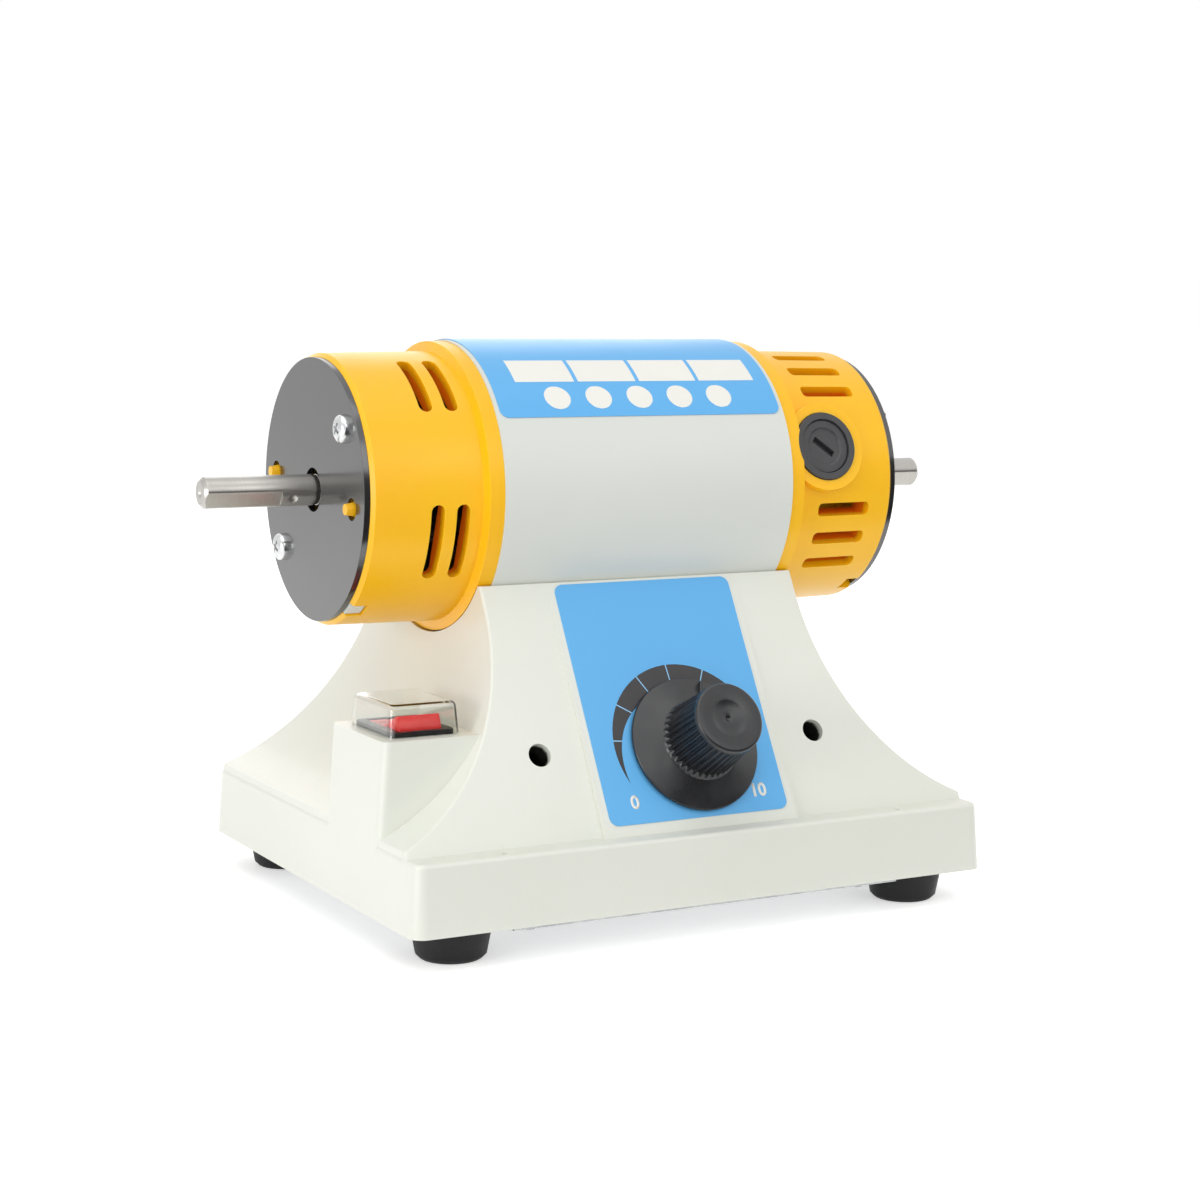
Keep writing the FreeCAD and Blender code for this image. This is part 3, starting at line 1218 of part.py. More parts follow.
def make_bottom_plate():
    side = "(plinth_width / 2 - plate_inset)"
    front = "(plinth_front - plate_inset)"
    back = "(plinth_back - plate_inset)"
    clear = "(foot_top_diameter / 2 + plate_notch_gap)"
    notch_x = f"(foot_spacing / 2 - {clear})"
    notch_front = f"(foot_front - {clear})"
    notch_back = f"(foot_back - {clear})"
    corners = []
    for y, notch, step in ((ahead(front), ahead(notch_front), 1), (behind(back), behind(notch_back), -1)):
        run = [(f"-{side}", notch), (f"-{notch_x}", notch), (f"-{notch_x}", y),
               (notch_x, y), (notch_x, notch), (side, notch)]
        corners += run[::step]
    body = prism("plate_body", "XY_Plane", "plate_thickness", corners)
    holes = new_sketch(body, "XY_Plane")
    for x, y in PLATE_SCREW_PLACES:
        draw_circle(holes, x, y, SCREW_HOLE)
    pocket(body, holes, "plate_thickness", reverse=True)
    keep(place(body, z="foot_height - plate_thickness"), "bottom_plate")
    screws = [place(small_screw("plate_screw", "plate_thickness + screw_grip"), x, y,
                    "foot_height - plate_thickness", axis=(1, 0, 0), turn="180") for x, y in PLATE_SCREW_PLACES]
    keep(group("plate_screw_set", screws), "bottom_plate_screws")


def make_grommet():
    out = "grommet_flange_thickness"
    body = turned("grommet_body", [("grommet_bore / 2", "-casting_wall"), ("grommet_diameter / 2", "-casting_wall"),
                                   ("grommet_diameter / 2", "0"), ("grommet_flange / 2", "0"),
                                   ("grommet_flange / 2", f"{out} / 2"), (f"grommet_flange / 2 - {out} / 2", out),
                                   ("grommet_bore / 2", out)], "V_Axis")
    keep(on_back(body, "0"), "cord_grommet")


# What stands on the sloping front: the printed sheet, the speed control and its knob.
def on_ground(thing, out):
    """Puts a piece on the axis of the speed control, at a step out of the label's ground."""
    return on_face(thing, "knob_station", "knob_rise", out, PAD_FOOT, "pad_slope")


def make_front_label():
    body = prism("front_sheet", "XY_Plane", "front_label_thickness",
                 *rounded_rectangle("-front_label_width / 2", "front_label_width / 2", "front_label_rise",
                                    "front_label_rise + front_label_length", "front_label_corner"))
    hole = new_sketch(body, "XY_Plane")
    draw_circle(hole, "knob_station", "knob_rise", "bush_diameter + 2 * bolt_clearance")
    pocket(body, hole, "front_label_thickness", reverse=True)
    keep(on_face(body, "0", "0", "0", PAD_FOOT, "pad_slope"), "front_label")


def make_speed_control():
    shaft_hole = "control_shaft_diameter / 2 + control_fit"
    floor = "-casting_wall - control_depth + washer_thickness"
    body = turned("control_body", [("0", "-casting_wall - control_depth"),
                                   ("control_diameter / 2", "-casting_wall - control_depth"),
                                   ("control_diameter / 2", "-casting_wall"), ("bush_diameter / 2", "-casting_wall"),
                                   ("bush_diameter / 2", "bush_proud"), (shaft_hole, "bush_proud"),
                                   (shaft_hole, floor), ("0", floor)], "V_Axis")
    keep(on_ground(body, "0"), "speed_control_body")
    shaft = cylinder("control_shaft", "control_shaft_diameter", "control_shaft_length")
    keep(on_ground(shaft, f"{floor} + control_fit"), "speed_control_shaft")
    washer = turned("control_washer", [("bush_diameter / 2 + bolt_clearance", "0"), ("washer_diameter / 2", "0"),
                                       ("washer_diameter / 2", "washer_thickness"),
                                       ("bush_diameter / 2 + bolt_clearance", "washer_thickness")], "V_Axis")
    keep(on_ground(washer, "front_label_thickness"), "speed_control_washer")
    nut = hexagon("control_nut", "nut_flats", "bush_diameter", "nut_height")
    keep(on_ground(nut, "front_label_thickness + washer_thickness"), "speed_control_nut")


# The knob: a flat skirt with a fluted grip, moulded round a brass insert.
def make_knob():
    rim_top = "knob_gap + knob_skirt_rim"
    skirt_top = "knob_gap + knob_skirt_rim + knob_skirt_rise"
    recess = "knob_gap + knob_recess_depth"
    bore_end = f"{recess} + insert_length"
    crown = "knob_grip_top_diameter / 2"
    body = turned("knob_body", [("insert_diameter / 2", recess), ("knob_recess_diameter / 2", recess),
                                ("knob_recess_diameter / 2", "knob_gap"), ("knob_skirt_diameter / 2", "knob_gap"),
                                ("knob_skirt_diameter / 2", rim_top), ("knob_grip_base_diameter / 2", skirt_top),
                                (crown, "knob_height - knob_dish"), (f"{crown} - knob_dish", "knob_height"),
                                (f"{crown} / 2", "knob_height - knob_dish"), ("0", "knob_height - knob_dish"),
                                ("0", bore_end), ("insert_diameter / 2", bore_end)], "V_Axis")
    flute = body.newObject("PartDesign::SubtractiveLoft", "knob_flute")
    profiles = []
    rise = f"(knob_height - knob_dish - ({skirt_top}))"
    lean = f"((knob_grip_base_diameter - knob_grip_top_diameter) / 2 / {rise})"
    for height, reach in ((skirt_top, "knob_grip_base_diameter / 2"),
                          ("knob_height + overrun", f"({crown} - (knob_dish + overrun) * {lean})")):
        sketch = raised_sketch(body, height)
        draw(sketch, [(f"{reach} - knob_flute_depth", "0"), (f"{reach} + knob_flute_depth", "-knob_flute_width"),
                      (f"{reach} + knob_flute_depth", "knob_flute_width")])
        profiles.append(sketch)
    flute.Profile = profiles[0]
    flute.Sections = profiles[1:]
    flute.Ruled = True
    body.Tip = flute
    repeat(body, [flute], "Z_Axis", "knob_flutes")
    # the raised pointer on the skirt, which shows where the knob stands on its dial
    pointer = raised_sketch(body, "knob_gap + knob_skirt_rim / 2")
    pointer.setExpression("AttachmentOffset.Rotation.Angle", bound("pointer_turn"))
    draw(pointer, rectangle("pointer_middle", "0", "pointer_length", "pointer_width"))
    pad(body, pointer, "knob_skirt_rim / 2 + knob_skirt_rise - pointer_drop")
    keep(on_ground(body, "0"), "speed_knob")
    insert = turned("insert_body", [("control_shaft_diameter / 2", "0"), ("insert_diameter / 2", "0"),
                                    ("insert_diameter / 2", "insert_length"),
                                    ("control_shaft_diameter / 2", "insert_length")], "V_Axis")
    keep(on_ground(insert, recess), "knob_insert")


# The switch in the block: a housing with its bezel, the rocker on its two pins, terminals, and a clear cover.
SWITCH_Y = ahead("switch_front")
PIVOT_Z = f"({BLOCK_TOP} - rocker_pivot_drop)"


def make_switch():
    bezel = prism("switch_bezel", "XY_Plane", "bezel_thickness",
                  *rounded_rectangle("-bezel_width / 2", "bezel_width / 2", "-bezel_length / 2",
                                     "bezel_length / 2", "bezel_corner"))
    trunk = prism("switch_trunk", "XY_Plane", "switch_body_depth",
                  rectangle("0", "0", "switch_body_width", "switch_body_length"), reverse=True)
    well = place(box("switch_well", "rocker_opening_width", "rocker_opening_length",
                     "rocker_opening_depth + bezel_thickness + overrun"),
                 "-rocker_opening_width / 2", "-rocker_opening_length / 2", "-rocker_opening_depth")
    pin_hole = place(cylinder("rocker_pin_hole", "rocker_pin_diameter + 2 * pin_fit",
                              "rocker_opening_width + 2 * rocker_pin_length"),
                     "-rocker_opening_width / 2 - rocker_pin_length", z="-rocker_pivot_drop",
                     axis=(0, 1, 0), turn="90")
    housing = cut("switch_housing_solid", fuse("switch_outside", bezel, trunk), well, pin_hole)
    keep(place(housing, "-switch_station", SWITCH_Y, BLOCK_TOP), "switch_housing")

    rim = "rocker_radius"
    top = "rocker_corner_turn"
    low = "rocker_lower_turn"
    rocker = prism("rocker_plate", "YZ_Plane", "rocker_width",
                   [(f"{rim} * cos({low})", f"-{rim} * sin({low})"), (f"{rim} * cos({top})", f"{rim} * sin({top})"),
                    ("0", "rocker_dip"), (f"-{rim} * cos({top})", f"{rim} * sin({top})"),
                    (f"-{rim} * cos({low})", f"-{rim} * sin({low})")],
                   {0: ("0", "0"), 3: ("0", "0")}, symmetric=True)
    pins = place(cylinder("rocker_pins", "rocker_pin_diameter",
                          "rocker_opening_width + 2 * rocker_pin_length - 2 * pin_fit"),
                 "-rocker_opening_width / 2 - rocker_pin_length + pin_fit", axis=(0, 1, 0), turn="90")
    whole = fuse("rocker_solid", rocker, pins)
    keep(place(whole, "-switch_station", SWITCH_Y, PIVOT_Z, axis=(-1, 0, 0), turn="rocker_tilt"), "switch_rocker")

    outside = covering("cover_outside", "0", "cover_height", "cover_top_inset")
    inside = covering("cover_inside", "cover_wall", "cover_height - cover_wall", "cover_top_inset")
    cover = cut("cover_shell", outside, inside)
    keep(place(cover, "-switch_station", SWITCH_Y, BLOCK_TOP), "switch_cover")

    blades = []
    for number in ("-1", "0", "1"):
        blade = box("terminal_blade", "terminal_width", "terminal_thickness", "terminal_length")
        blades.append(place(blade, "-switch_station - terminal_width / 2",
                            f"{SWITCH_Y} + {number} * terminal_spacing - terminal_thickness / 2",
                            f"{BLOCK_TOP} - switch_body_depth - terminal_length"))
    keep(group("terminal_set", blades), "switch_terminals")


def covering(name, inset, height, top_inset):
    """A block that narrows upward, for the outside and the inside of the switch cover."""
    body = new_body(name)
    loft = body.newObject("PartDesign::AdditiveLoft", name + "_loft")
    sections = []
    for level, shrink in (("0", inset), (height, f"{inset} + {top_inset}")):
        sketch = raised_sketch(body, level)
        half_width = f"(cover_width / 2 - ({shrink}))"
        half_length = f"(cover_length / 2 - ({shrink}))"
        draw(sketch, *rounded_rectangle(f"-{half_width}", half_width, f"-{half_length}", half_length,
                                        f"(cover_corner - ({inset}))"))
        sections.append(sketch)
    loft.Profile = sections[0]
    loft.Sections = sections[1:]
    loft.Ruled = True
    body.Tip = loft
    return body


# Inside the base: the heat plate behind the front face, and the board on the bottom plate.
def make_electronics():
    plate = prism("heat_plate_body", "XY_Plane", "heat_plate_thickness",
                  rectangle("0", "0", "heat_plate_width", "heat_plate_height"))
    holes = new_sketch(plate, "XY_Plane")
    for side in ("-1", "1"):
        draw_circle(holes, f"{side} * front_hole_spacing / 2", "0", "screw_diameter")
    pocket(plate, holes, "heat_plate_thickness", reverse=True)
    keep(on_face(plate, "0", "front_hole_rise", "-front_boss_depth - heat_plate_thickness", FACE_FOOT,
                 "face_slope"), "heat_plate")
    screws = []
    for side in ("-1", "1"):
        body = small_screw("heat_plate_screw", "front_boss_depth - front_hole_depth + heat_plate_thickness")
        screws.append(on_face(body, f"{side} * front_hole_spacing / 2", "front_hole_rise", "-front_hole_depth",
                              FACE_FOOT, "face_slope"))
    keep(group("heat_plate_screw_pair", screws), "heat_plate_screws")
    triac = prism("triac_body", "XY_Plane", "triac_thickness", rectangle("0", "0", "triac_width", "triac_height"))
    keep(on_face(triac, "triac_station", "front_hole_rise", "-front_boss_depth - heat_plate_thickness"
                 " - triac_thickness", FACE_FOOT, "face_slope"), "triac")

    corners = [(f"{side} * (board_length / 2 - board_hole_inset)", f"{end} * (board_width / 2 - board_hole_inset)")
               for side in ("-1", "1") for end in ("-1", "1")]
    board = prism("board_body", "XY_Plane", "board_thickness", rectangle("0", "0", "board_length", "board_width"))
    holes = new_sketch(board, "XY_Plane")
    for x, y in corners:
        draw_circle(holes, x, y, SCREW_HOLE)
    pocket(board, holes, "board_thickness", reverse=True)
    board_z = "foot_height + standoff_height"
    keep(place(board, "0", "spindle_set_back", board_z), "control_board")
    standoffs = []
    screws = []
    for x, y in corners:
        post = turned("standoff", [("screw_diameter / 2", "0"), ("standoff_diameter / 2", "0"),
                                   ("standoff_diameter / 2", "standoff_height"),
                                   ("screw_diameter / 2", "standoff_height")], "V_Axis")
        standoffs.append(place(post, x, f"spindle_set_back + {y}", "foot_height"))
        screws.append(place(small_screw("board_screw", "board_thickness + standoff_height"), x,
                            f"spindle_set_back + {y}", f"{board_z} + board_thickness"))
    keep(group("standoff_set", standoffs), "board_standoffs")
    keep(group("board_screw_set", screws), "board_screws")

    top = f"{board_z} + board_thickness"
    capacitor = box("capacitor_box", "capacitor_length", "capacitor_width", "capacitor_height")
    keep(place(capacitor, "component_gap", "spindle_set_back + component_gap", top), "capacitor")
    choke = turned("choke_body", [("choke_bore / 2", "0"), ("choke_diameter / 2", "0"),
                                  ("choke_diameter / 2", "choke_height"), ("choke_bore / 2", "choke_height")],
                   "V_Axis")
    keep(place(choke, "component_gap + choke_diameter / 2", "spindle_set_back - choke_diameter / 2", top),
         "choke_coil")
    block = box("terminal_block_box", "terminal_block_length", "terminal_block_width", "terminal_block_height")
    keep(place(block, "-component_gap - terminal_block_length", "spindle_set_back", top), "terminal_block")


# The two screws that hold the drum in the saddle, and the threaded plates inside the drum.
def make_motor_mount():
    screws = []
    plates = []
    bottom = "spindle_height - drum_diameter / 2"
    for side in ("-1", "1"):
        station = f"{side} * mount_screw_station"
        body = screw("mount_screw", "mount_screw_diameter", "mount_screw_head_diameter", "mount_screw_head_height",
                     "saddle_wall + drum_wall + nut_plate_thickness")
        screws.append(place(body, station, "spindle_set_back", f"{bottom} - saddle_wall", axis=(1, 0, 0),
                            turn="180"))
        blank = place(box("nut_plate_blank", "nut_plate_length", "nut_plate_width", "nut_plate_thickness"),
                      f"{station} - nut_plate_length / 2", "spindle_set_back - nut_plate_width / 2",
                      f"{bottom} + drum_wall")
        bore = place(cylinder("nut_plate_round", DRUM_BORE, "nut_plate_length"),
                     f"{station} - nut_plate_length / 2", "spindle_set_back", "spindle_height",
                     axis=(0, 1, 0), turn="90")
        hole = place(cylinder("nut_plate_hole", "mount_screw_diameter", "nut_plate_thickness + 2 * overrun"),
                     station, "spindle_set_back", f"{bottom} + drum_wall - overrun")
        plates.append(cut("nut_plate", overlap("nut_plate_curved", blank, bore), hole))
    keep(group("mount_screw_pair", screws), "motor_mount_screws")
    keep(group("nut_plate_pair", plates), "motor_nut_plates")


make_casting()
make_bottom_plate()
make_feet()
make_grommet()
make_front_label()
make_speed_control()
make_knob()
make_switch()
make_electronics()
make_motor_mount()
make_drum()
make_stator()
make_field_coil("field_coil_upper", 1)
make_field_coil("field_coil_lower", -1)
make_spindle()
make_armature()
make_fan()
make_bearing("left", "-1")
make_bearing("right", "1")
make_left_cap()
make_right_cap()
make_end_disc("left_end_disc", "-1")
make_end_disc("right_end_disc", "1")
make_tie_bolts()
make_brush_gear("front", False)
make_brush_gear("rear", True)
make_motor_label()

doc.recompute()

# Nothing is written unless every object is sound and every cut has taken something away.
for thing in doc.Objects:
    if "Invalid" in thing.State or "Error" in thing.State:
        raise RuntimeError(f"{thing.Name} failed: {thing.State}")
for feature, base in cuts:
    if feature.Shape.Volume > base.Shape.Volume * (1 - 1e-9):
        raise RuntimeError(f"{feature.Name} cut nothing away")
for node in nodes:
    if node.Shape.isNull() or not node.Shape.isValid():
        raise RuntimeError(f"{node.Label} has no sound shape")

os.makedirs("parts", exist_ok=True)
for node in nodes:
    node.Shape.exportStep(f"parts/{node.Label}.step")
print(len(nodes), "pieces written")
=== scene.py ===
import math

import bpy
from mathutils import Matrix, Vector


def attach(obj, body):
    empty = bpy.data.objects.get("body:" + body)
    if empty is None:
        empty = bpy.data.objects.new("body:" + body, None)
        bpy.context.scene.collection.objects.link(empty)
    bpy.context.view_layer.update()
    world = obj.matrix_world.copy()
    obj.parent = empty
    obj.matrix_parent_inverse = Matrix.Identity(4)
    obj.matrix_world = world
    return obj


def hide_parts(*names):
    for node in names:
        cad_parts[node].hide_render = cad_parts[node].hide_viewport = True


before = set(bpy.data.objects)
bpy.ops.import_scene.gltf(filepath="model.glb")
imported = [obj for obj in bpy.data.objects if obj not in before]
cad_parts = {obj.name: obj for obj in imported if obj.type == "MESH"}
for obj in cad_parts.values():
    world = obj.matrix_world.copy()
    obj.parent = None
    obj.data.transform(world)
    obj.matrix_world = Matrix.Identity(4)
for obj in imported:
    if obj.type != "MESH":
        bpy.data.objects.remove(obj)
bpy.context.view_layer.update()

# THE STUDIO
# A white table that runs on into a white room, with soft lamps overhead, in front, low at both sides and
# behind. A grey card leans at the right in front, seen only in gloss, and gives round metal its dark band.
CAMERA_AZIMUTH = math.radians(-28.63)
CAMERA_ELEVATION = math.radians(6.88)
CAMERA_ROLL = math.radians(0.43)
CAMERA_DISTANCE = 0.812
CAMERA_TARGET = Vector((0.0064, 0.0060, 0.0958))
CAMERA_LENS = 71.46
TABLE_SIZE = 60.0
TABLE_TONE = (0.91, 0.91, 0.905, 1.0)
TABLE_LIFT = 0.50
ROOM_LIGHT = 0.57
MATT = 0.9
LAMPS = (("lamp_above", (-0.35, -0.25, 1.30), 1.5, 6.6), ("lamp_front", (0.25, -1.70, 0.85), 1.3, 5.8),
         ("lamp_left", (-1.52, -0.48, 0.22), 0.6, 7.4), ("lamp_right", (1.50, 0.35, 0.50), 1.2, 3.2),
         ("lamp_behind", (0.40, 1.50, 0.90), 1.2, 4.4))
CARD_SIZE = (1.30, 1.27)
CARD_MIDDLE = (0.45, -0.73, 0.277)
CARD_LEAN = math.radians(-25.7)
CARD_TONE = (0.03, 0.03, 0.03, 1.0)


def clear_selection():
    """Leaves nothing selected, so that the next step acts on its own piece only."""
    if bpy.context.object and bpy.context.object.mode != "OBJECT":
        bpy.ops.object.mode_set(mode="OBJECT")
    bpy.ops.object.select_all(action="DESELECT")


def alone(piece):
    """Leaves one piece selected and active."""
    clear_selection()
    piece.select_set(True)
    bpy.context.view_layer.objects.active = piece


def put(tree, kind, inputs=None, **settings):
    """Adds a node, with its settings, and each input joined to a socket or given a value."""
    made = tree.nodes.new("ShaderNode" + kind)
    for name, setting in settings.items():
        setattr(made, name, setting)
    for key, given in (inputs or {}).items():
        if isinstance(given, bpy.types.NodeSocket):
            tree.links.new(given, made.inputs[key])
        else:
            made.inputs[key].default_value = given
    return made


def seen_directly(tree):
    """A mask of the rays that see the room itself: from the camera, in gloss and through clear plastic."""
    path = put(tree, "LightPath")
    either = put(tree, "Math", {0: path.outputs["Is Camera Ray"], 1: path.outputs["Is Glossy Ray"]},
                 operation="MAXIMUM")
    return put(tree, "Math", {0: either.outputs[0], 1: path.outputs["Is Transmission Ray"]},
               operation="MAXIMUM").outputs[0]


clear_selection()
bpy.ops.mesh.primitive_plane_add(size=TABLE_SIZE)
table = bpy.context.object
table.name = "studio_table"
table_paint = bpy.data.materials.new("table_paint")
table_paint.use_nodes = True
tree = table_paint.node_tree
shader = tree.nodes["Principled BSDF"]
shader.inputs["Base Color"].default_value = TABLE_TONE
shader.inputs["Roughness"].default_value = MATT
shader.inputs["Specular IOR Level"].default_value = 0.1
shader.inputs["Emission Color"].default_value = (1.0, 1.0, 1.0, 1.0)
lift = put(tree, "Math", {0: seen_directly(tree), 1: TABLE_LIFT}, operation="MULTIPLY")
tree.links.new(lift.outputs[0], shader.inputs["Emission Strength"])
table.data.materials.append(table_paint)

clear_selection()
bpy.ops.mesh.primitive_plane_add(size=1, location=CARD_MIDDLE, rotation=(CARD_LEAN, 0, 0))
card = bpy.context.object
card.name = "grey_card"
card.scale = (*CARD_SIZE, 1)
card.visible_camera = False
card.visible_diffuse = False
card.visible_shadow = False
card_paint = bpy.data.materials.new("card_paint")
card_paint.use_nodes = True
shader = card_paint.node_tree.nodes["Principled BSDF"]
shader.inputs["Base Color"].default_value = CARD_TONE
shader.inputs["Roughness"].default_value = MATT
card.data.materials.append(card_paint)

room = bpy.data.worlds.new("studio_room")
bpy.context.scene.world = room
room.use_nodes = True
tree = room.node_tree
glow = put(tree, "MapRange", {"Value": seen_directly(tree), "To Min": ROOM_LIGHT, "To Max": 1.0})
background = tree.nodes["Background"]
background.inputs["Color"].default_value = (1.0, 1.0, 1.0, 1.0)
tree.links.new(glow.outputs["Result"], background.inputs["Strength"])

for lamp_name, place, size, power in LAMPS:
    clear_selection()
    bpy.ops.object.light_add(type="AREA", location=place)
    lamp = bpy.context.object
    lamp.name = lamp_name
    lamp.data.size = size
    lamp.data.energy = power
    lamp.rotation_euler = (CAMERA_TARGET - Vector(place)).to_track_quat("-Z", "Y").to_euler()

clear_selection()
bpy.ops.object.camera_add()
camera = bpy.context.object
camera.name = "photographer"
stance = (Matrix.Rotation(CAMERA_AZIMUTH, 4, "Z") @ Matrix.Rotation(math.pi / 2 - CAMERA_ELEVATION, 4, "X")
          @ Matrix.Rotation(CAMERA_ROLL, 4, "Z"))
camera.matrix_world = Matrix.Translation(CAMERA_TARGET + stance.to_3x3() @ Vector((0, 0, CAMERA_DISTANCE))) @ stance
camera.data.sensor_width = 36.0
camera.data.lens = CAMERA_LENS
bpy.context.scene.camera = camera
bpy.context.scene.view_settings.view_transform = "Standard"


# BASE CASTING
# One aluminium casting: a flat plinth, a pedestal whose sides flare up to the motor's saddle, a raised
# ground for the control sheet and a block for the switch. It is fettled, filled and sprayed with a warm
# ivory enamel, so every edge is soft and the skin has a faint orange peel.
CASTING_EDGE = 0.0007
MERGE_REACH = 0.000002
IVORY = (229, 231, 222)
IVORY_SHADE = (221, 223, 212)
IVORY_UNDERCOAT = (205, 205, 196)
HOLE_MOUTHS = ((-0.0502, -0.0598, 0.05783), (0.0502, -0.0598, 0.05783))
HOLE_OUTWARD = (0.0, -0.8805, 0.4741)
HOLE_RADIUS = 0.0041
HOLE_PAINTED = 0.0017
# the near-black painted shade inside the front holes
HOLE_PAINTED_SHADE = (34, 34, 31)


def tone(colour):
    """A colour given in plain screen numbers, as the linear colour that a shader takes."""
    return tuple(pow((part / 255 + 0.055) / 1.055, 2.4) if part > 10 else part / 255 / 12.92
                 for part in colour) + (1.0,)


def new_effect(name, takes, gives):
    """An empty shader group with named inputs and outputs, and its two end nodes."""
    group = bpy.data.node_groups.new(name, "ShaderNodeTree")
    for label, kind, start in takes:
        group.interface.new_socket(name=label, in_out="INPUT", socket_type="NodeSocket" + kind).default_value = start
    for label, kind in gives:
        group.interface.new_socket(name=label, in_out="OUTPUT", socket_type="NodeSocket" + kind)
    return group, group.nodes.new("NodeGroupInput").outputs, group.nodes.new("NodeGroupOutput").inputs


def blended(tree, share, first, second):
    """A mix of two colours by a mask."""
    mixed = put(tree, "Mix", {0: share, 6: first, 7: second}, data_type="RGBA")
    return mixed.outputs[2]


# the skin of a sprayed or moulded piece: slow patches of a second tone, and a fine grain as height
surface_skin, taken, given = new_effect(
    "surface_skin", (("Colour", "Color", (1, 1, 1, 1)), ("Shade", "Color", (1, 1, 1, 1)),
                     ("Patch Scale", "Float", 20.0), ("Patch Depth", "Float", 0.5), ("Grain Scale", "Float", 900.0)),
    (("Colour", "Color"), ("Patches", "Float"), ("Height", "Float")))
spot = put(surface_skin, "TexCoord").outputs["Object"]
patches = put(surface_skin, "TexNoise", {"Vector": spot, "Scale": taken["Patch Scale"], "Detail": 3.0})
spread = put(surface_skin, "MapRange", {"Value": patches.outputs[0], "From Min": 0.22, "From Max": 0.78},
             interpolation_type="SMOOTHERSTEP")
share = put(surface_skin, "Math", {0: spread.outputs[0], 1: taken["Patch Depth"]}, operation="MULTIPLY")
grain = put(surface_skin, "TexNoise", {"Vector": spot, "Scale": taken["Grain Scale"], "Detail": 2.0})
surface_skin.links.new(blended(surface_skin, share.outputs[0], taken["Colour"], taken["Shade"]), given["Colour"])
surface_skin.links.new(spread.outputs[0], given["Patches"])
surface_skin.links.new(grain.outputs[0], given["Height"])

# fine dust on whatever looks up, thin and uneven
settled_dust, taken, given = new_effect(
    "settled_dust", (("Colour", "Color", (1, 1, 1, 1)), ("Dust", "Color", (0.6, 0.58, 0.54, 1)),
                     ("Amount", "Float", 0.1)),
    (("Colour", "Color"), ("Mask", "Float")))
spot = put(settled_dust, "TexCoord").outputs["Object"]
facing = put(settled_dust, "SeparateXYZ", {0: put(settled_dust, "NewGeometry").outputs["Normal"]})
upward = put(settled_dust, "MapRange", {"Value": facing.outputs["Z"], "From Min": 0.55, "From Max": 1.0},
             interpolation_type="SMOOTHERSTEP")
flecks = put(settled_dust, "TexNoise", {"Vector": spot, "Scale": 260.0, "Detail": 8.0, "Roughness": 0.7})
uneven = put(settled_dust, "MapRange", {"Value": flecks.outputs[0], "From Min": 0.42, "From Max": 0.70})
lying = put(settled_dust, "Math", {0: upward.outputs[0], 1: uneven.outputs[0]}, operation="MULTIPLY")
mask = put(settled_dust, "Math", {0: lying.outputs[0], 1: taken["Amount"]}, operation="MULTIPLY")
settled_dust.links.new(blended(settled_dust, mask.outputs[0], taken["Colour"], taken["Dust"]), given["Colour"])
settled_dust.links.new(mask.outputs[0], given["Mask"])

# a tone on edges, where the rounded normal leaves the true one, broken up by a noise: darker edges are
# handling wear, as on the enamel; the lighter edges on the caps and knob are a painted highlight
edge_wear_and_highlight, taken, given = new_effect(
    "edge_wear_and_highlight", (("Colour", "Color", (1, 1, 1, 1)), ("Worn And Lit Tone", "Color", (1, 1, 1, 1)),
                     ("Width", "Float", 0.0006), ("Amount", "Float", 0.5)),
    (("Colour", "Color"), ("Mask", "Float")))
spot = put(edge_wear_and_highlight, "TexCoord").outputs["Object"]
soft = put(edge_wear_and_highlight, "Bevel", {"Radius": taken["Width"]}, samples=4)
bend = put(edge_wear_and_highlight, "VectorMath", {0: soft.outputs[0], 1: put(edge_wear_and_highlight, "NewGeometry").outputs["Normal"]},
           operation="DOT_PRODUCT")
edge = put(edge_wear_and_highlight, "MapRange", {"Value": bend.outputs["Value"], "From Min": 0.985, "From Max": 0.90})
edge_breakup = put(edge_wear_and_highlight, "TexNoise", {"Vector": spot, "Scale": 420.0, "Detail": 5.0})
broken = put(edge_wear_and_highlight, "MapRange", {"Value": edge_breakup.outputs[0], "From Min": 0.40, "From Max": 0.62})
edge_flecks = put(edge_wear_and_highlight, "Math", {0: edge.outputs[0], 1: broken.outputs[0]}, operation="MULTIPLY")
mask = put(edge_wear_and_highlight, "Math", {0: edge_flecks.outputs[0], 1: taken["Amount"]}, operation="MULTIPLY")
edge_wear_and_highlight.links.new(blended(edge_wear_and_highlight, mask.outputs[0], taken["Colour"], taken["Worn And Lit Tone"]), given["Colour"])
edge_wear_and_highlight.links.new(mask.outputs[0], given["Mask"])


def about_axis(tree, spot, middle, axis):
    """How far a spot lies along an axis, and how far out from it."""
    offset = put(tree, "VectorMath", {0: spot, 1: middle}, operation="SUBTRACT")
    along = put(tree, "VectorMath", {0: offset.outputs[0], 1: axis}, operation="DOT_PRODUCT")
    out = put(tree, "VectorMath", {0: offset.outputs[0], 1: axis}, operation="CROSS_PRODUCT")
    reach = put(tree, "VectorMath", {0: out.outputs[0]}, operation="LENGTH")
    return along.outputs["Value"], reach.outputs["Value"]


# the rings that a lathe tool or grinding wheel leaves: a noise that changes along and out from an axis
tool_rings, taken, given = new_effect(
    "tool_rings", (("Centre", "Vector", (0, 0, 0)), ("Axis", "Vector", (1, 0, 0)), ("Scale", "Float", 3000.0)),
    (("Rings", "Float"),))
spot = put(tool_rings, "TexCoord").outputs["Object"]
along, reach = about_axis(tool_rings, spot, taken["Centre"], taken["Axis"])
flat = put(tool_rings, "CombineXYZ", {"X": along, "Y": reach})
rings = put(tool_rings, "TexNoise", {"Vector": flat.outputs[0], "Scale": taken["Scale"], "Detail": 4.0,
                                     "Roughness": 0.6})
tool_rings.links.new(rings.outputs[0], given["Rings"])
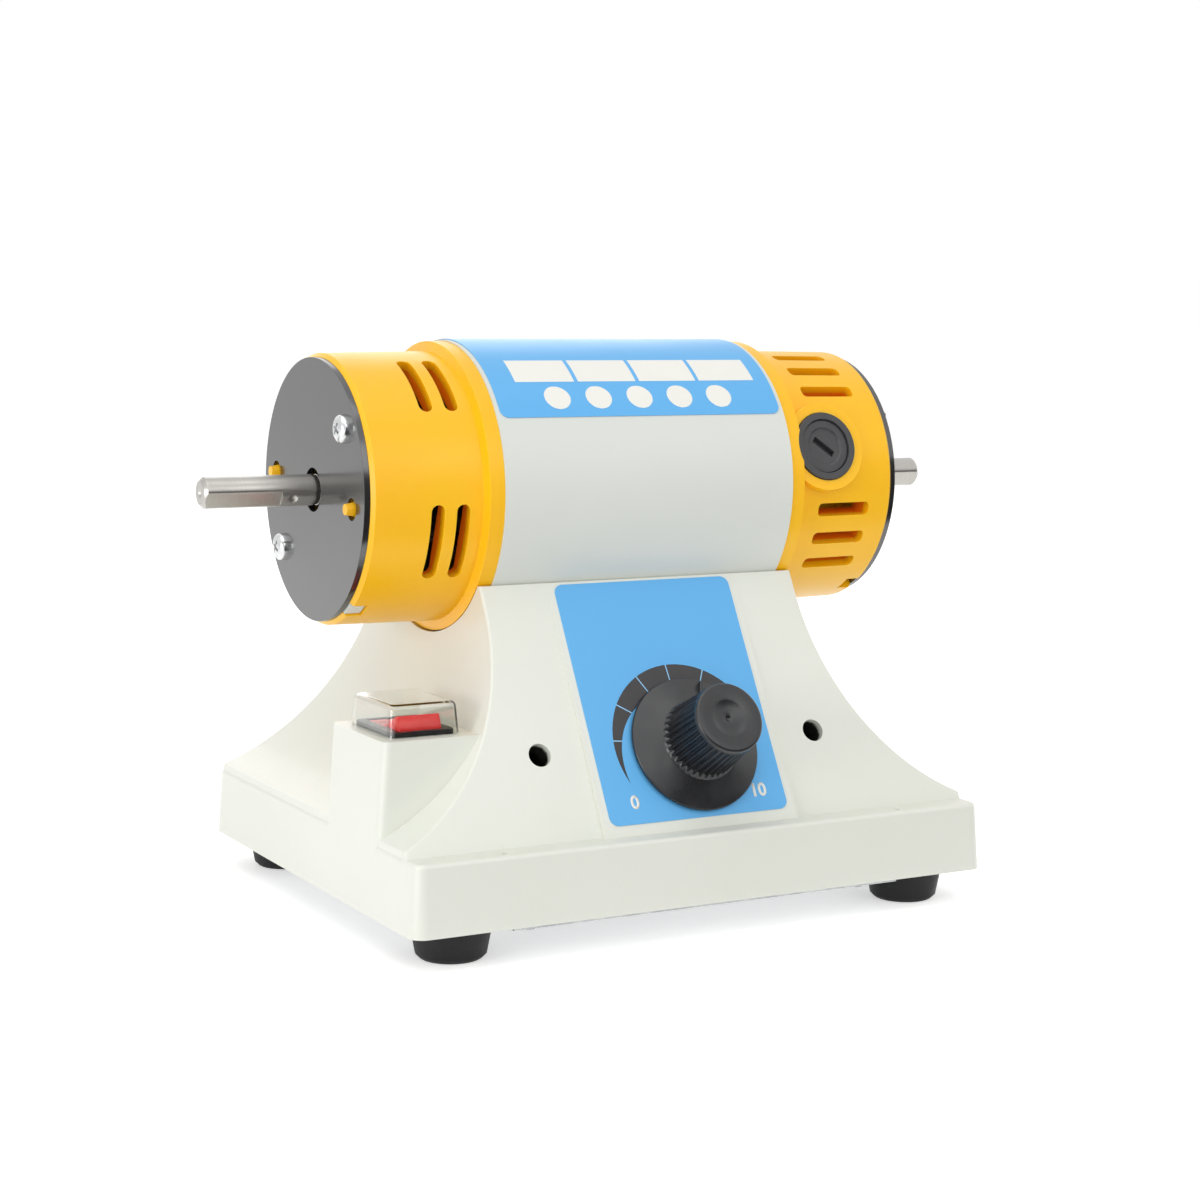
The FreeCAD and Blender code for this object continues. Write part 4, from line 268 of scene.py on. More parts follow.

# a deep hole: past the paint at its mouth, painted shade, a near-black that stands in for the shade inside
hole_painted_shade, taken, given = new_effect(
    "hole_painted_shade", (("Colour", "Color", (1, 1, 1, 1)), ("Inside", "Color", (0, 0, 0, 1)),
                  ("Mouth", "Vector", (0, 0, 0)), ("Outward", "Vector", (0, 0, 1)),
                  ("Radius", "Float", 0.004), ("Painted Depth", "Float", 0.002)),
    (("Colour", "Color"), ("Mask", "Float")))
spot = put(hole_painted_shade, "TexCoord").outputs["Object"]
along, reach = about_axis(hole_painted_shade, spot, taken["Mouth"], taken["Outward"])
within = put(hole_painted_shade, "Math", {0: reach, 1: taken["Radius"]}, operation="LESS_THAN")
ragged = put(hole_painted_shade, "TexNoise", {"Vector": spot, "Scale": 600.0, "Detail": 2.0})
limit = put(hole_painted_shade, "Math", {0: ragged.outputs[0], 1: taken["Painted Depth"], 2: taken["Painted Depth"]},
            operation="MULTIPLY_ADD")
depth = put(hole_painted_shade, "Math", {0: along, 1: -1.0}, operation="MULTIPLY")
past = put(hole_painted_shade, "Math", {0: depth.outputs[0], 1: limit.outputs[0]}, operation="DIVIDE")
wear_and_painted_light = put(hole_painted_shade, "MapRange", {"Value": past.outputs[0], "From Min": 0.55, "From Max": 1.25},
           interpolation_type="SMOOTHSTEP")
mask = put(hole_painted_shade, "Math", {0: wear_and_painted_light.outputs[0], 1: within.outputs[0]}, operation="MULTIPLY")
hole_painted_shade.links.new(blended(hole_painted_shade, mask.outputs[0], taken["Colour"], taken["Inside"]), given["Colour"])
hole_painted_shade.links.new(mask.outputs[0], given["Mask"])


def finish(name, colour, shade, rough, patch=(25.0, 0.5), grain=(1200.0, 0.00004), metal=0.0, ior=1.5,
           edge_wear_and_sheen=None, dust=0.0, rings=None, coat=0.0, clear=0.0):
    """A finish from the shared effects: skin, then edges with wear and painted highlight, tool rings and dust, each
    with its own values.
    """
    material = bpy.data.materials.new(name)
    material.use_nodes = True
    tree = material.node_tree
    shader = tree.nodes["Principled BSDF"]
    shader.inputs["Metallic"].default_value = metal
    shader.inputs["IOR"].default_value = ior
    shader.inputs["Coat Weight"].default_value = coat
    shader.inputs["Coat Roughness"].default_value = 0.08
    skin = put(tree, "Group", {"Colour": tone(colour), "Shade": tone(shade), "Patch Scale": patch[0],
                               "Patch Depth": patch[1], "Grain Scale": grain[0]}, node_tree=surface_skin)
    paint = skin.outputs["Colour"]
    height = skin.outputs["Height"]
    roughness = put(tree, "MapRange", {"Value": skin.outputs["Patches"], "To Min": rough[0],
                                       "To Max": rough[1]}).outputs[0]
    if rings:
        turned_skin = put(tree, "Group", {"Centre": rings["centre"], "Axis": rings["axis"],
                                          "Scale": rings["scale"]}, node_tree=tool_rings)
        height = put(tree, "Math", {0: turned_skin.outputs["Rings"], 1: height}, operation="MAXIMUM").outputs[0]
        dark = put(tree, "MapRange", {"Value": turned_skin.outputs["Rings"], "From Min": 0.35, "From Max": 0.65,
                                      "To Min": 0.0, "To Max": rings["tint"]}).outputs[0]
        paint = blended(tree, dark, paint, tone(shade))
    if edge_wear_and_sheen:
        edges_toned = put(tree, "Group", {"Colour": paint, "Worn And Lit Tone": tone(edge_wear_and_sheen["wear_and_painted_light"]), "Width": edge_wear_and_sheen["width"],
                                     "Amount": edge_wear_and_sheen["amount"]}, node_tree=edge_wear_and_highlight)
        paint = edges_toned.outputs["Colour"]
    if dust:
        dusty = put(tree, "Group", {"Colour": paint, "Amount": dust}, node_tree=settled_dust)
        paint = dusty.outputs["Colour"]
        roughness = put(tree, "Math", {0: roughness, 1: dusty.outputs["Mask"]}, operation="ADD").outputs[0]
    bump = put(tree, "Bump", {"Height": height, "Strength": 1.0, "Distance": grain[1]})
    tree.links.new(paint, shader.inputs["Base Color"])
    tree.links.new(roughness, shader.inputs["Roughness"])
    tree.links.new(bump.outputs[0], shader.inputs["Normal"])
    if clear:
        shader.inputs["Transmission Weight"].default_value = clear
    return material


def dress(piece, material):
    """Gives a piece its one finish."""
    piece.data.materials.clear()
    piece.data.materials.append(material)


def coat_nodes(material, *nodes):
    """Gives CAD nodes whose shape is right their finish."""
    for node in nodes:
        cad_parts[node].data.materials.clear()
        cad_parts[node].data.materials.append(material)


def smoothed(piece, turn=35.0):
    """Smooth shading that keeps the corners sharper than a turn, with flat faces kept flat."""
    alone(piece)
    bpy.ops.object.shade_smooth_by_angle(angle=math.radians(turn))
    level = piece.modifiers.new("level_faces", "WEIGHTED_NORMAL")
    level.keep_sharp = True
    level.weight = 100
    bpy.ops.object.modifier_apply(modifier=level.name)


def eased(piece, width, segments=2, sharp=35.0):
    """Rounds every edge sharper than a turn."""
    alone(piece)
    ease = piece.modifiers.new("ease_edges", "BEVEL")
    ease.width = width
    ease.segments = segments
    ease.limit_method = "ANGLE"
    ease.angle_limit = math.radians(sharp)
    ease.miter_outer = "MITER_ARC"
    bpy.ops.object.modifier_apply(modifier=ease.name)


def thickened(piece, thickness, offset=1):
    """Gives a sheet its thickness, outwards, or inwards with an offset of -1."""
    alone(piece)
    wall = piece.modifiers.new("wall", "SOLIDIFY")
    wall.thickness = thickness
    wall.offset = offset
    bpy.ops.object.modifier_apply(modifier=wall.name)


def carved(piece, cutter):
    """Cuts one closed form out of a piece."""
    alone(piece)
    cut = piece.modifiers.new("cut", "BOOLEAN")
    cut.operation = "DIFFERENCE"
    cut.object = cutter
    cut.solver = "EXACT"
    bpy.ops.object.modifier_apply(modifier=cut.name)
    bpy.data.objects.remove(cutter)


def fettled(node, width, segments=2, sharp=35.0):
    """A copy of a CAD node, merged, with whole flat faces and eased edges, to stand for it."""
    clear_selection()
    piece = bpy.data.objects.new(node + "_finished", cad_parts[node].data.copy())
    bpy.context.scene.collection.objects.link(piece)
    alone(piece)
    bpy.ops.object.mode_set(mode="EDIT")
    bpy.ops.mesh.select_all(action="SELECT")
    bpy.ops.mesh.customdata_custom_splitnormals_clear()
    bpy.ops.mesh.remove_doubles(threshold=MERGE_REACH)
    bpy.ops.mesh.dissolve_limited(angle_limit=math.radians(0.8))
    bpy.ops.object.mode_set(mode="OBJECT")
    eased(piece, width, segments, sharp)
    smoothed(piece)
    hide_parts(node)
    return piece


ivory_enamel = finish("ivory_enamel", IVORY, IVORY_SHADE, rough=(0.30, 0.40), patch=(9.0, 0.5),
                      grain=(700.0, 0.00005), coat=0.25, dust=0.05,
                      edge_wear_and_sheen={"wear_and_painted_light": IVORY_UNDERCOAT, "width": 0.0008, "amount": 0.12})
tree = ivory_enamel.node_tree
shader = tree.nodes["Principled BSDF"]
paint = shader.inputs["Base Color"].links[0].from_socket
# the two front holes turn near-black past their mouths: painted shade
for mouth in HOLE_MOUTHS:
    hole = put(tree, "Group", {"Colour": paint, "Inside": tone(HOLE_PAINTED_SHADE), "Mouth": mouth,
                               "Outward": HOLE_OUTWARD, "Radius": HOLE_RADIUS, "Painted Depth": HOLE_PAINTED},
               node_tree=hole_painted_shade)
    paint = hole.outputs["Colour"]
tree.links.new(paint, shader.inputs["Base Color"])
casting = fettled("base_casting", CASTING_EDGE)
dress(casting, ivory_enamel)
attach(casting, "machine")


# BOTTOM PLATE AND SMALL SCREWS
# A sheet-steel plate closes the base from below, and plain pan-head screws hold it, the feet, the heat
# plate and the boards. All are plated with bright zinc, which dries in slightly bluish, cloudy patches;
# the heat plate's screws, deep in the front holes, get a darker copy of it as painted shade.
ZINC = (188, 190, 190)
ZINC_SHADE = (160, 163, 168)
PLATE_EDGE = 0.0002

zinc_plate = finish("zinc_plate", ZINC, ZINC_SHADE, rough=(0.22, 0.38), patch=(160.0, 0.7), grain=(2600.0, 0.00001),
                    metal=1.0)
coat_nodes(zinc_plate, "bottom_plate_screws", "foot_screws", "board_screws", "motor_mount_screws",
           "motor_nut_plates", "speed_control_washer", "speed_control_nut")
# the heat plate's screws sit deep in the front holes, and this darker copy of the zinc is painted shade
zinc_painted_shade = finish("zinc_painted_shade", (120, 120, 118), (70, 70, 70), rough=(0.16, 0.30), patch=(500.0, 0.8),
                   grain=(2600.0, 0.00002), metal=1.0)
coat_nodes(zinc_painted_shade, "heat_plate_screws")
plate = fettled("bottom_plate", PLATE_EDGE)
dress(plate, zinc_plate)
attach(plate, "machine")


# RUBBER FEET
# Four moulded rubber feet, a little narrower towards the bench, each held by a screw in its recess.
# The rubber is dull black, with a soft bottom edge and a grey bloom of dust.
RUBBER = (15, 15, 16)
RUBBER_BLOOM = (26, 26, 27)
FOOT_EDGE = 0.0006

foot_rubber = finish("foot_rubber", RUBBER, RUBBER_BLOOM, rough=(0.42, 0.62), patch=(90.0, 0.5),
                     grain=(1800.0, 0.00006), ior=1.4, dust=0.08)
for corner in ("front_left", "front_right", "back_left", "back_right"):
    foot = fettled("foot_" + corner, FOOT_EDGE)
    dress(foot, foot_rubber)
    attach(foot, "machine")


# GROMMET
# A round rubber grommet lines the lead's hole in the back wall. It is pushed in from outside, and its
# flange lies against the enamel.
GROMMET_EDGE = 0.0004

grommet = fettled("cord_grommet", GROMMET_EDGE)
dress(grommet, foot_rubber)
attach(grommet, "machine")


# CONTROL SHEET
# A sky-blue printed plastic sheet is stuck on the raised ground in front. It carries the dial, printed a
# little up and left of the knob: a black band that widens from 0, fine light lines across it, and plain
# numbers at its ends.
SHEET_SLOPE = math.radians(29.4)
SHEET_FOOT = Vector((0.0, -0.075032, 0.033))
SHEET_THICKNESS = 0.0003
INK_THICKNESS = 0.00002
DIAL_X = 0.0021
DIAL_RISE = 0.0283
BAND_OUTER = 0.0268
BAND_INNER = 0.0204
BAND_END = 25
BAND_FULL = 140
BAND_START = 205
BAND_STEP = 5
BAND_LOSS = 0.99
LINE_WIDTH = 0.00036
LINE_ANGLES = (174, 147, 119, 93, 64, 38)
NUMBERS = (("0", -0.0222, 0.0086), ("10", 0.0228, 0.0086))
NUMBER_SIZE = 0.0060
NUMBER_WEIGHT = 0.00018
SKY = (101, 180, 236)
SKY_SHADE = (95, 174, 232)
INK_BLACK = (52, 50, 52)
INK_LINE = (150, 205, 245)
INK_WHITE = (238, 237, 230)

# from the sheet's own plane (across, up the slope, outwards) to the machine
sheet_place = Matrix.Translation(SHEET_FOOT) @ Matrix.Rotation(math.pi / 2 - SHEET_SLOPE, 4, "X")


def settle(piece, place):
    """Puts a finished piece in its place in the machine, with its origin left at the frame's."""
    alone(piece)
    piece.matrix_world = place
    bpy.ops.object.transform_apply(location=True, rotation=True, scale=True)


def mark(piece, kind, chosen):
    """Selects the vertices, edges or faces that a test picks, and opens the piece for editing."""
    alone(piece)
    mesh = piece.data
    for parts in (mesh.vertices, mesh.edges, mesh.polygons):
        for part in parts:
            part.select = False
    for part in {"VERT": mesh.vertices, "EDGE": mesh.edges, "FACE": mesh.polygons}[kind]:
        part.select = bool(chosen(part))
    bpy.ops.object.mode_set(mode="EDIT")
    bpy.ops.mesh.select_mode(type=kind)


def joined(name, *pieces):
    """Several meshes made one piece."""
    clear_selection()
    for piece in pieces:
        piece.select_set(True)
    bpy.context.view_layer.objects.active = pieces[0]
    if len(pieces) > 1:
        bpy.ops.object.join()
    pieces[0].name = name
    return pieces[0]


def band_width(turn):
    """The dial band's width at a turn: full, then less and less towards its start."""
    return (BAND_OUTER - BAND_INNER) * (1 - BAND_LOSS * max(0, turn - BAND_FULL) / (BAND_START - BAND_FULL))


def angle_of(point):
    """A point's turn about the piece's own middle, in degrees, counted from its bottom."""
    return (math.degrees(math.atan2(point[1], point[0])) + 90) % 360 - 90


def inked(piece, name, material, rise):
    """Gives flat print its thickness and lays it on the control sheet."""
    piece.name = name
    thickened(piece, INK_THICKNESS)
    settle(piece, sheet_place @ Matrix.Translation((0, 0, SHEET_THICKNESS + rise)))
    dress(piece, material)
    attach(piece, "machine")


printed_sky = finish("printed_sky", SKY, SKY_SHADE, rough=(0.28, 0.36), patch=(14.0, 0.5), grain=(2400.0, 0.000008),
                     ior=1.42, dust=0.015)
coat_nodes(printed_sky, "front_label")
ink_black = finish("ink_black", INK_BLACK, (60, 58, 60), rough=(0.28, 0.38), patch=(200.0, 0.5),
                   grain=(3000.0, 0.000006))
ink_line = finish("ink_line", INK_LINE, (140, 198, 240), rough=(0.28, 0.38), patch=(300.0, 0.5),
                  grain=(3000.0, 0.000006))
ink_white = finish("ink_white", INK_WHITE, (233, 232, 225), rough=(0.30, 0.34), patch=(60.0, 0.3),
                   grain=(3000.0, 0.000006))

clear_selection()
bpy.ops.mesh.primitive_circle_add(vertices=360 // BAND_STEP, radius=BAND_OUTER, fill_type="NOTHING")
band = bpy.context.object
mark(band, "VERT", lambda corner: not BAND_END - 1 < angle_of(corner.co) < BAND_START + 1)
bpy.ops.mesh.delete(type="VERT")
bpy.ops.mesh.select_all(action="SELECT")
bpy.ops.mesh.extrude_region_move()
bpy.ops.transform.resize(value=(BAND_INNER / BAND_OUTER, BAND_INNER / BAND_OUTER, 1), center_override=(0, 0, 0))
bpy.ops.object.mode_set(mode="OBJECT")
for turn in range(BAND_FULL + BAND_STEP, BAND_START + 1, BAND_STEP):
    reach = BAND_OUTER - band_width(turn)
    mark(band, "VERT", lambda corner: abs(angle_of(corner.co) - turn) < 1
         and corner.co.xy.length < (BAND_INNER + BAND_OUTER) / 2)
    bpy.ops.transform.resize(value=(reach / BAND_INNER, reach / BAND_INNER, 1), center_override=(0, 0, 0))
    bpy.ops.object.mode_set(mode="OBJECT")
settle(band, Matrix.Translation((DIAL_X, DIAL_RISE, 0)))
inked(band, "dial_band", ink_black, 0.0)

lines = []
for turn in LINE_ANGLES:
    clear_selection()
    bpy.ops.mesh.primitive_plane_add(size=1)
    line = bpy.context.object
    settle(line, Matrix.Translation((DIAL_X, DIAL_RISE, 0)) @ Matrix.Rotation(math.radians(turn), 4, "Z")
           @ Matrix.Translation((BAND_OUTER + INK_THICKNESS - band_width(turn) / 2, 0, 0))
           @ Matrix.Diagonal((band_width(turn), LINE_WIDTH, 1, 1)))
    lines.append(line)
inked(joined("dial_lines", *lines), "dial_lines", ink_line, INK_THICKNESS)

numbers = []
for words, across, rise in NUMBERS:
    clear_selection()
    bpy.ops.object.text_add()
    number = bpy.context.object
    number.data.body = words
    number.data.size = NUMBER_SIZE
    number.data.align_x = "CENTER"
    number.data.offset = NUMBER_WEIGHT
    number.data.resolution_u = 6
    bpy.ops.object.convert(target="MESH")
    settle(number, Matrix.Translation((across, rise, 0)))
    numbers.append(number)
inked(joined("dial_numbers", *numbers), "dial_numbers", ink_white, 0.0)


# SPEED KNOB
# A black satin moulding on the control's shaft: a wide skirt with a raised pointer, and a grip with
# thirty-six flutes and a dished top. The flutes end short of a plain rim at the top.
KNOB_X = 0.0034
KNOB_RISE = 0.0273
KNOB_COLUMNS = 144
FLUTE_COLUMNS = 4
SUNK_COLUMNS = (2, 3)
FLUTE_DEPTH = 0.00095
KNOB_BLACK = (22, 23, 26)
KNOB_SCUFF = (36, 37, 41)
# radius and height above the sheet's ground, from the shaft's bore round the skirt and grip to the dish
KNOB_OUTLINE = ((0.00505, 0.0184), (0.00505, 0.0044), (0.0105, 0.0044), (0.0105, 0.0008), (0.0218, 0.0008),
                (0.0222, 0.0012), (0.0222, 0.0020), (0.02195, 0.0024), (0.0175, 0.0038), (0.0134, 0.0053),
                (0.0128, 0.0060), (0.01276, 0.0068), (0.01165, 0.0232), (0.01162, 0.0238), (0.01152, 0.0250),
                (0.0112, 0.0255), (0.0106, 0.02572), (0.0090, 0.02574), (0.0066, 0.02562), (0.0056, 0.0253),
                (0.0044, 0.0249), (0.0028, 0.02462), (0.0010, 0.0245), (0.0007, 0.0241), (0.0004, 0.0239))
FLUTED_FROM = 0.0066
FLUTED_TO = 0.0234
FLUTED_REACH = 0.0122
BORE_REACH = 0.008
KNOB_EDGE = 0.00012
POINTER_EDGE = 0.0003
KNOB_SHARP = 28.0
KNOB_SMOOTH = 40.0
POINTER = (0.0064, 0.0014, 0.0029)
POINTER_MIDDLE = (0.0174, 0.00355)
POINTER_TURN = math.radians(72.0)


def turned_form(name, outline, columns):
    """A closed turned form about Z: a ring of vertices, carried along an outline of radius and height."""
    clear_selection()
    radius, height = outline[0]
    bpy.ops.mesh.primitive_circle_add(vertices=columns, radius=radius, fill_type="NGON", location=(0, 0, height))
    piece = bpy.context.object
    piece.name = name
    bpy.ops.object.transform_apply(location=True)
    bpy.ops.object.mode_set(mode="EDIT")
    bpy.ops.mesh.select_all(action="SELECT")
    bpy.ops.mesh.flip_normals()
    bpy.ops.mesh.duplicate()
    bpy.ops.mesh.delete(type="ONLY_FACE")
    bpy.ops.object.mode_set(mode="OBJECT")
    mark(piece, "EDGE", lambda edge: all(corner >= columns for corner in edge.vertices))
    for wider, higher in outline[1:]:
        bpy.ops.mesh.extrude_region_move(TRANSFORM_OT_translate={"value": (0, 0, higher - height)})
        bpy.ops.transform.resize(value=(wider / radius, wider / radius, 1), center_override=(0, 0, 0))
        radius, height = wider, higher
    bpy.ops.mesh.edge_face_add()
    bpy.ops.mesh.select_all(action="SELECT")
    bpy.ops.mesh.remove_doubles(threshold=MERGE_REACH)
    bpy.ops.mesh.normals_make_consistent(inside=False)
    bpy.ops.object.mode_set(mode="OBJECT")
    return piece


# the knob's lighter grey edges are a painted highlight
knob_black = finish("knob_black", KNOB_BLACK, KNOB_SCUFF, rough=(0.26, 0.38), patch=(130.0, 0.35),
                    grain=(2200.0, 0.00002), ior=1.62, dust=0.03,
                    edge_wear_and_sheen={"wear_and_painted_light": (90, 91, 95), "width": 0.0004, "amount": 0.4})
knob = turned_form("speed_knob_finished", KNOB_OUTLINE, KNOB_COLUMNS)
column = 360 / KNOB_COLUMNS
mark(knob, "VERT", lambda corner: FLUTED_FROM < corner.co.z < FLUTED_TO and corner.co.xy.length > BORE_REACH
     and round(angle_of(corner.co) / column) % FLUTE_COLUMNS in SUNK_COLUMNS)
flute = 1 - FLUTE_DEPTH / FLUTED_REACH
bpy.ops.transform.resize(value=(flute, flute, 1), center_override=(0, 0, 0))
bpy.ops.object.mode_set(mode="OBJECT")
eased(knob, KNOB_EDGE, segments=1, sharp=KNOB_SHARP)
clear_selection()
bpy.ops.mesh.primitive_cube_add(size=1)
pointer = bpy.context.object
settle(pointer, Matrix.Rotation(POINTER_TURN, 4, "Z")
       @ Matrix.Translation((POINTER_MIDDLE[0], 0, POINTER_MIDDLE[1])) @ Matrix.Diagonal((*POINTER, 1)))
eased(pointer, POINTER_EDGE)
knob = joined("speed_knob_finished", knob, pointer)
smoothed(knob, turn=KNOB_SMOOTH)
settle(knob, sheet_place @ Matrix.Translation((KNOB_X, KNOB_RISE, 0)))
dress(knob, knob_black)
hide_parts("speed_knob")
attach(knob, "knob")

# the brass insert, and the control behind the sheet
BRASS = (201, 166, 98)
brass_parts = finish("brass_parts", BRASS, (176, 140, 80), rough=(0.25, 0.40), patch=(220.0, 0.5),
                     grain=(2600.0, 0.00001), metal=1.0)
coat_nodes(brass_parts, "knob_insert", "board_standoffs", "switch_terminals")
control_metal = finish("control_metal", (196, 197, 200), (176, 178, 182), rough=(0.30, 0.46), patch=(120.0, 0.5),
                       grain=(2600.0, 0.00002), metal=1.0)
coat_nodes(control_metal, "speed_control_body", "speed_control_shaft", "heat_plate")


# SWITCH
# A black nylon rocker switch is snapped into the block: a bezel and a red rocker that rests on its rear
# half. A soft clear cover against splashes stands over both, with rounded edges and sides that lean in.
SWITCH_X = -0.084
SWITCH_Y = -0.034
BLOCK_TOP = 0.064625
COVER_SIZE = (0.0240, 0.0316, 0.0102)
COVER_LEAN = 0.94
COVER_CORNER = 0.0026
COVER_EDGE = 0.0016
COVER_WALL = 0.0007
COVER_SMOOTH = 50.0
SWITCH_BLACK = (28, 28, 30)
ROCKER_RED = (250, 50, 48)
BEZEL_EDGE = 0.0003
ROCKER_EDGE = 0.0004

switch_black = finish("switch_black", SWITCH_BLACK, (44, 44, 47), rough=(0.28, 0.42), patch=(160.0, 0.4),
                      grain=(2600.0, 0.00002), dust=0.10)
coat_nodes(switch_black, "triac")
bezel = fettled("switch_housing", BEZEL_EDGE)
dress(bezel, switch_black)
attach(bezel, "machine")

rocker_red = finish("rocker_red", ROCKER_RED, (246, 46, 46), rough=(0.20, 0.30), patch=(120.0, 0.5),
                    grain=(2600.0, 0.00001), coat=0.3)
rocker = fettled("switch_rocker", ROCKER_EDGE)
dress(rocker, rocker_red)
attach(rocker, "rocker")

clear_selection()
bpy.ops.mesh.primitive_cube_add(size=1, location=(SWITCH_X, SWITCH_Y, BLOCK_TOP + COVER_SIZE[2] / 2))
cover = bpy.context.object
cover.name = "switch_cover_finished"
cover.scale = COVER_SIZE
bpy.ops.object.transform_apply(location=True, scale=True)
mark(cover, "FACE", lambda face: face.normal.z > 0.5)
bpy.ops.transform.resize(value=(COVER_LEAN, COVER_LEAN, 1), center_override=(SWITCH_X, SWITCH_Y, BLOCK_TOP))
bpy.ops.object.mode_set(mode="OBJECT")
mark(cover, "EDGE", lambda edge: abs(cover.data.vertices[edge.vertices[0]].co.z
                                     - cover.data.vertices[edge.vertices[1]].co.z) > 0.001)
bpy.ops.mesh.bevel(offset=COVER_CORNER, segments=6)
bpy.ops.object.mode_set(mode="OBJECT")
mark(cover, "FACE", lambda face: face.normal.z > 0.9)
bpy.ops.mesh.bevel(offset=COVER_EDGE, segments=4)
bpy.ops.object.mode_set(mode="OBJECT")
mark(cover, "FACE", lambda face: face.normal.z < -0.9)
bpy.ops.mesh.delete(type="FACE")
bpy.ops.object.mode_set(mode="OBJECT")
thickened(cover, COVER_WALL, offset=-1)
smoothed(cover, turn=COVER_SMOOTH)
clear_cover = finish("clear_cover", (244, 246, 244), (238, 240, 236), rough=(0.03, 0.07), patch=(60.0, 0.5),
                     grain=(300.0, 0.00001), ior=1.07, coat=1.0, clear=1.0)
dress(cover, clear_cover)
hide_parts("switch_cover")
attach(cover, "machine")


# MOTOR DRUM AND ITS SHEET
# The motor's body is a drawn steel tube in a cool light-grey enamel. A sky-blue sheet is stuck over
# the top of it, with blank white fields and discs where its particulars are printed.
AXIS_Y = 0.006
AXIS_Z = 0.1365
SHEET_REACH = 0.0478
FIELDS = 4
FIELD_LEFT = -0.0427
FIELD_WIDTH = 0.0211
FIELD_PITCH = 0.0225
FIELD_TURNS = (46.4, 59.4)
FIELD_STEPS = 8
PRINT_LIFT = 0.00001
WRAP_START = 0.002
DISC_TURN = 38.6
DISC_RADIUS = 0.0046
DISC_COLUMNS = 40
DISC_RINGS = (3 / 4, 2 / 3, 1 / 2)
DISC_STATIONS = (-0.0299, -0.0150, 0.0, 0.0149, 0.0298)
DRUM_GREY = (220, 223, 217)
DRUM_SHADE = (212, 215, 208)

drum_grey = finish("drum_grey", DRUM_GREY, DRUM_SHADE, rough=(0.36, 0.46), patch=(12.0, 0.5),
                   grain=(900.0, 0.00003), dust=0.02)
coat_nodes(drum_grey, "motor_drum")
coat_nodes(printed_sky, "motor_label")


def on_drum(station, turn, reach):
    """From a piece drawn flat at its own middle, to a station along the drum and a turn above its front."""
    return (Matrix.Translation((station, AXIS_Y, AXIS_Z))
            @ Matrix.Rotation(math.radians(90 - turn), 4, "X") @ Matrix.Translation((0, 0, reach)))


prints = []
for number in range(FIELDS):
    clear_selection()
    bpy.ops.mesh.primitive_plane_add(size=1)
    field = bpy.context.object
    mark(field, "VERT", lambda corner: corner.co.y > 0)
    bpy.ops.mesh.delete(type="VERT")
    bpy.ops.object.mode_set(mode="OBJECT")
    settle(field, on_drum(FIELD_LEFT + number * FIELD_PITCH + FIELD_WIDTH / 2, FIELD_TURNS[0],
                          SHEET_REACH + PRINT_LIFT) @ Matrix.Diagonal((FIELD_WIDTH, 0, 1, 1)))
    mark(field, "VERT", lambda corner: True)
    bpy.ops.mesh.spin(steps=FIELD_STEPS, angle=math.radians(FIELD_TURNS[1] - FIELD_TURNS[0]),
                      center=(0, AXIS_Y, AXIS_Z), axis=(1, 0, 0))
    bpy.ops.object.mode_set(mode="OBJECT")
    prints.append(field)
for station in DISC_STATIONS:
    clear_selection()
    bpy.ops.mesh.primitive_circle_add(vertices=DISC_COLUMNS, radius=DISC_RADIUS, fill_type="NOTHING")
    disc = bpy.context.object
    bpy.ops.object.mode_set(mode="EDIT")
    bpy.ops.mesh.select_all(action="SELECT")
    for step in DISC_RINGS:
        bpy.ops.mesh.extrude_region_move()
        bpy.ops.transform.resize(value=(step, step, 1), center_override=(0, 0, 0))
    bpy.ops.mesh.edge_face_add()
    bpy.ops.object.mode_set(mode="OBJECT")
    settle(disc, on_drum(station, DISC_TURN, SHEET_REACH + WRAP_START))
    wrap = disc.modifiers.new("wrap", "SHRINKWRAP")
    wrap.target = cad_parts["motor_label"]
    wrap.offset = PRINT_LIFT
    bpy.ops.object.modifier_apply(modifier=wrap.name)
    prints.append(disc)
blanks = joined("drum_sheet_blanks", *prints)
alone(blanks)
bpy.ops.object.mode_set(mode="EDIT")
bpy.ops.mesh.select_all(action="SELECT")
bpy.ops.mesh.remove_doubles(threshold=MERGE_REACH)
bpy.ops.mesh.normals_make_consistent(inside=False)
bpy.ops.object.mode_set(mode="OBJECT")
thickened(blanks, INK_THICKNESS)
bpy.ops.object.shade_smooth_by_angle(angle=math.radians(30))
dress(blanks, ink_white)
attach(blanks, "machine")


# END CAPS
# Two moulded end caps close the drum, each with a flange against it and vents for the fan's air: two
# rings of curved slots in the left cap, straight slots and the brush bosses in the right, each with a
# moulded collar inside, coloured a deeper orange as painted shade for the light bounced inside the
# vents. They are glossy warm-yellow plastic, with faint flow marks and soft edges that carry a lighter
# painted highlight.
CAP_YELLOW = (255, 195, 12)
CAP_AMBER = (253, 186, 8)
# the collars' deeper orange is painted shade, for light bounced inside the vents
COLLAR_SHADED_ORANGE = (255, 146, 12)
COLLAR_SHADED_AMBER = (250, 134, 8)
CAP_EDGE = 0.00045
CAP_TURN = 16.5
RIM_X = 0.0954
RIM_REACH = 0.0424
RIM_DRAFT = 0.992
VENT_WIDTH = 0.0045
CURVED_LENGTH = 0.0250
CURVED_CORNER = 0.0022
CURVED_STATIONS = (-0.0654, -0.0740)
CURVED_TURNS = (-36.5, 36.5)
CURVED_FOOT = 0.0370
STRAIGHT_LENGTH = 0.0205
STRAIGHT_CORNER = 0.0014
STRAIGHT_STATION = 0.07655
STRAIGHT_TURNS = (-55.6, -41.8, -28.0, 28.0, 41.8, 55.6)
STRAIGHT_FOOT = 0.0340
COLLAR_TOP = 0.0412
COLLAR_WALL = 0.0008
COLLAR_STEP = 0.00005
INSERT_SIZE = (0.0056, 0.0064, 0.0030)
INSERT_PLACE = (-0.0931, -58.0, 0.0411)
INSERT_EDGE = 0.0004
POST_REACH = 0.0320
POST_TURNS = (-7.0, 173.0)
POST_TIP_X = 0.0995
POST_WIDTH = 0.005
POST_TAPER = 0.74


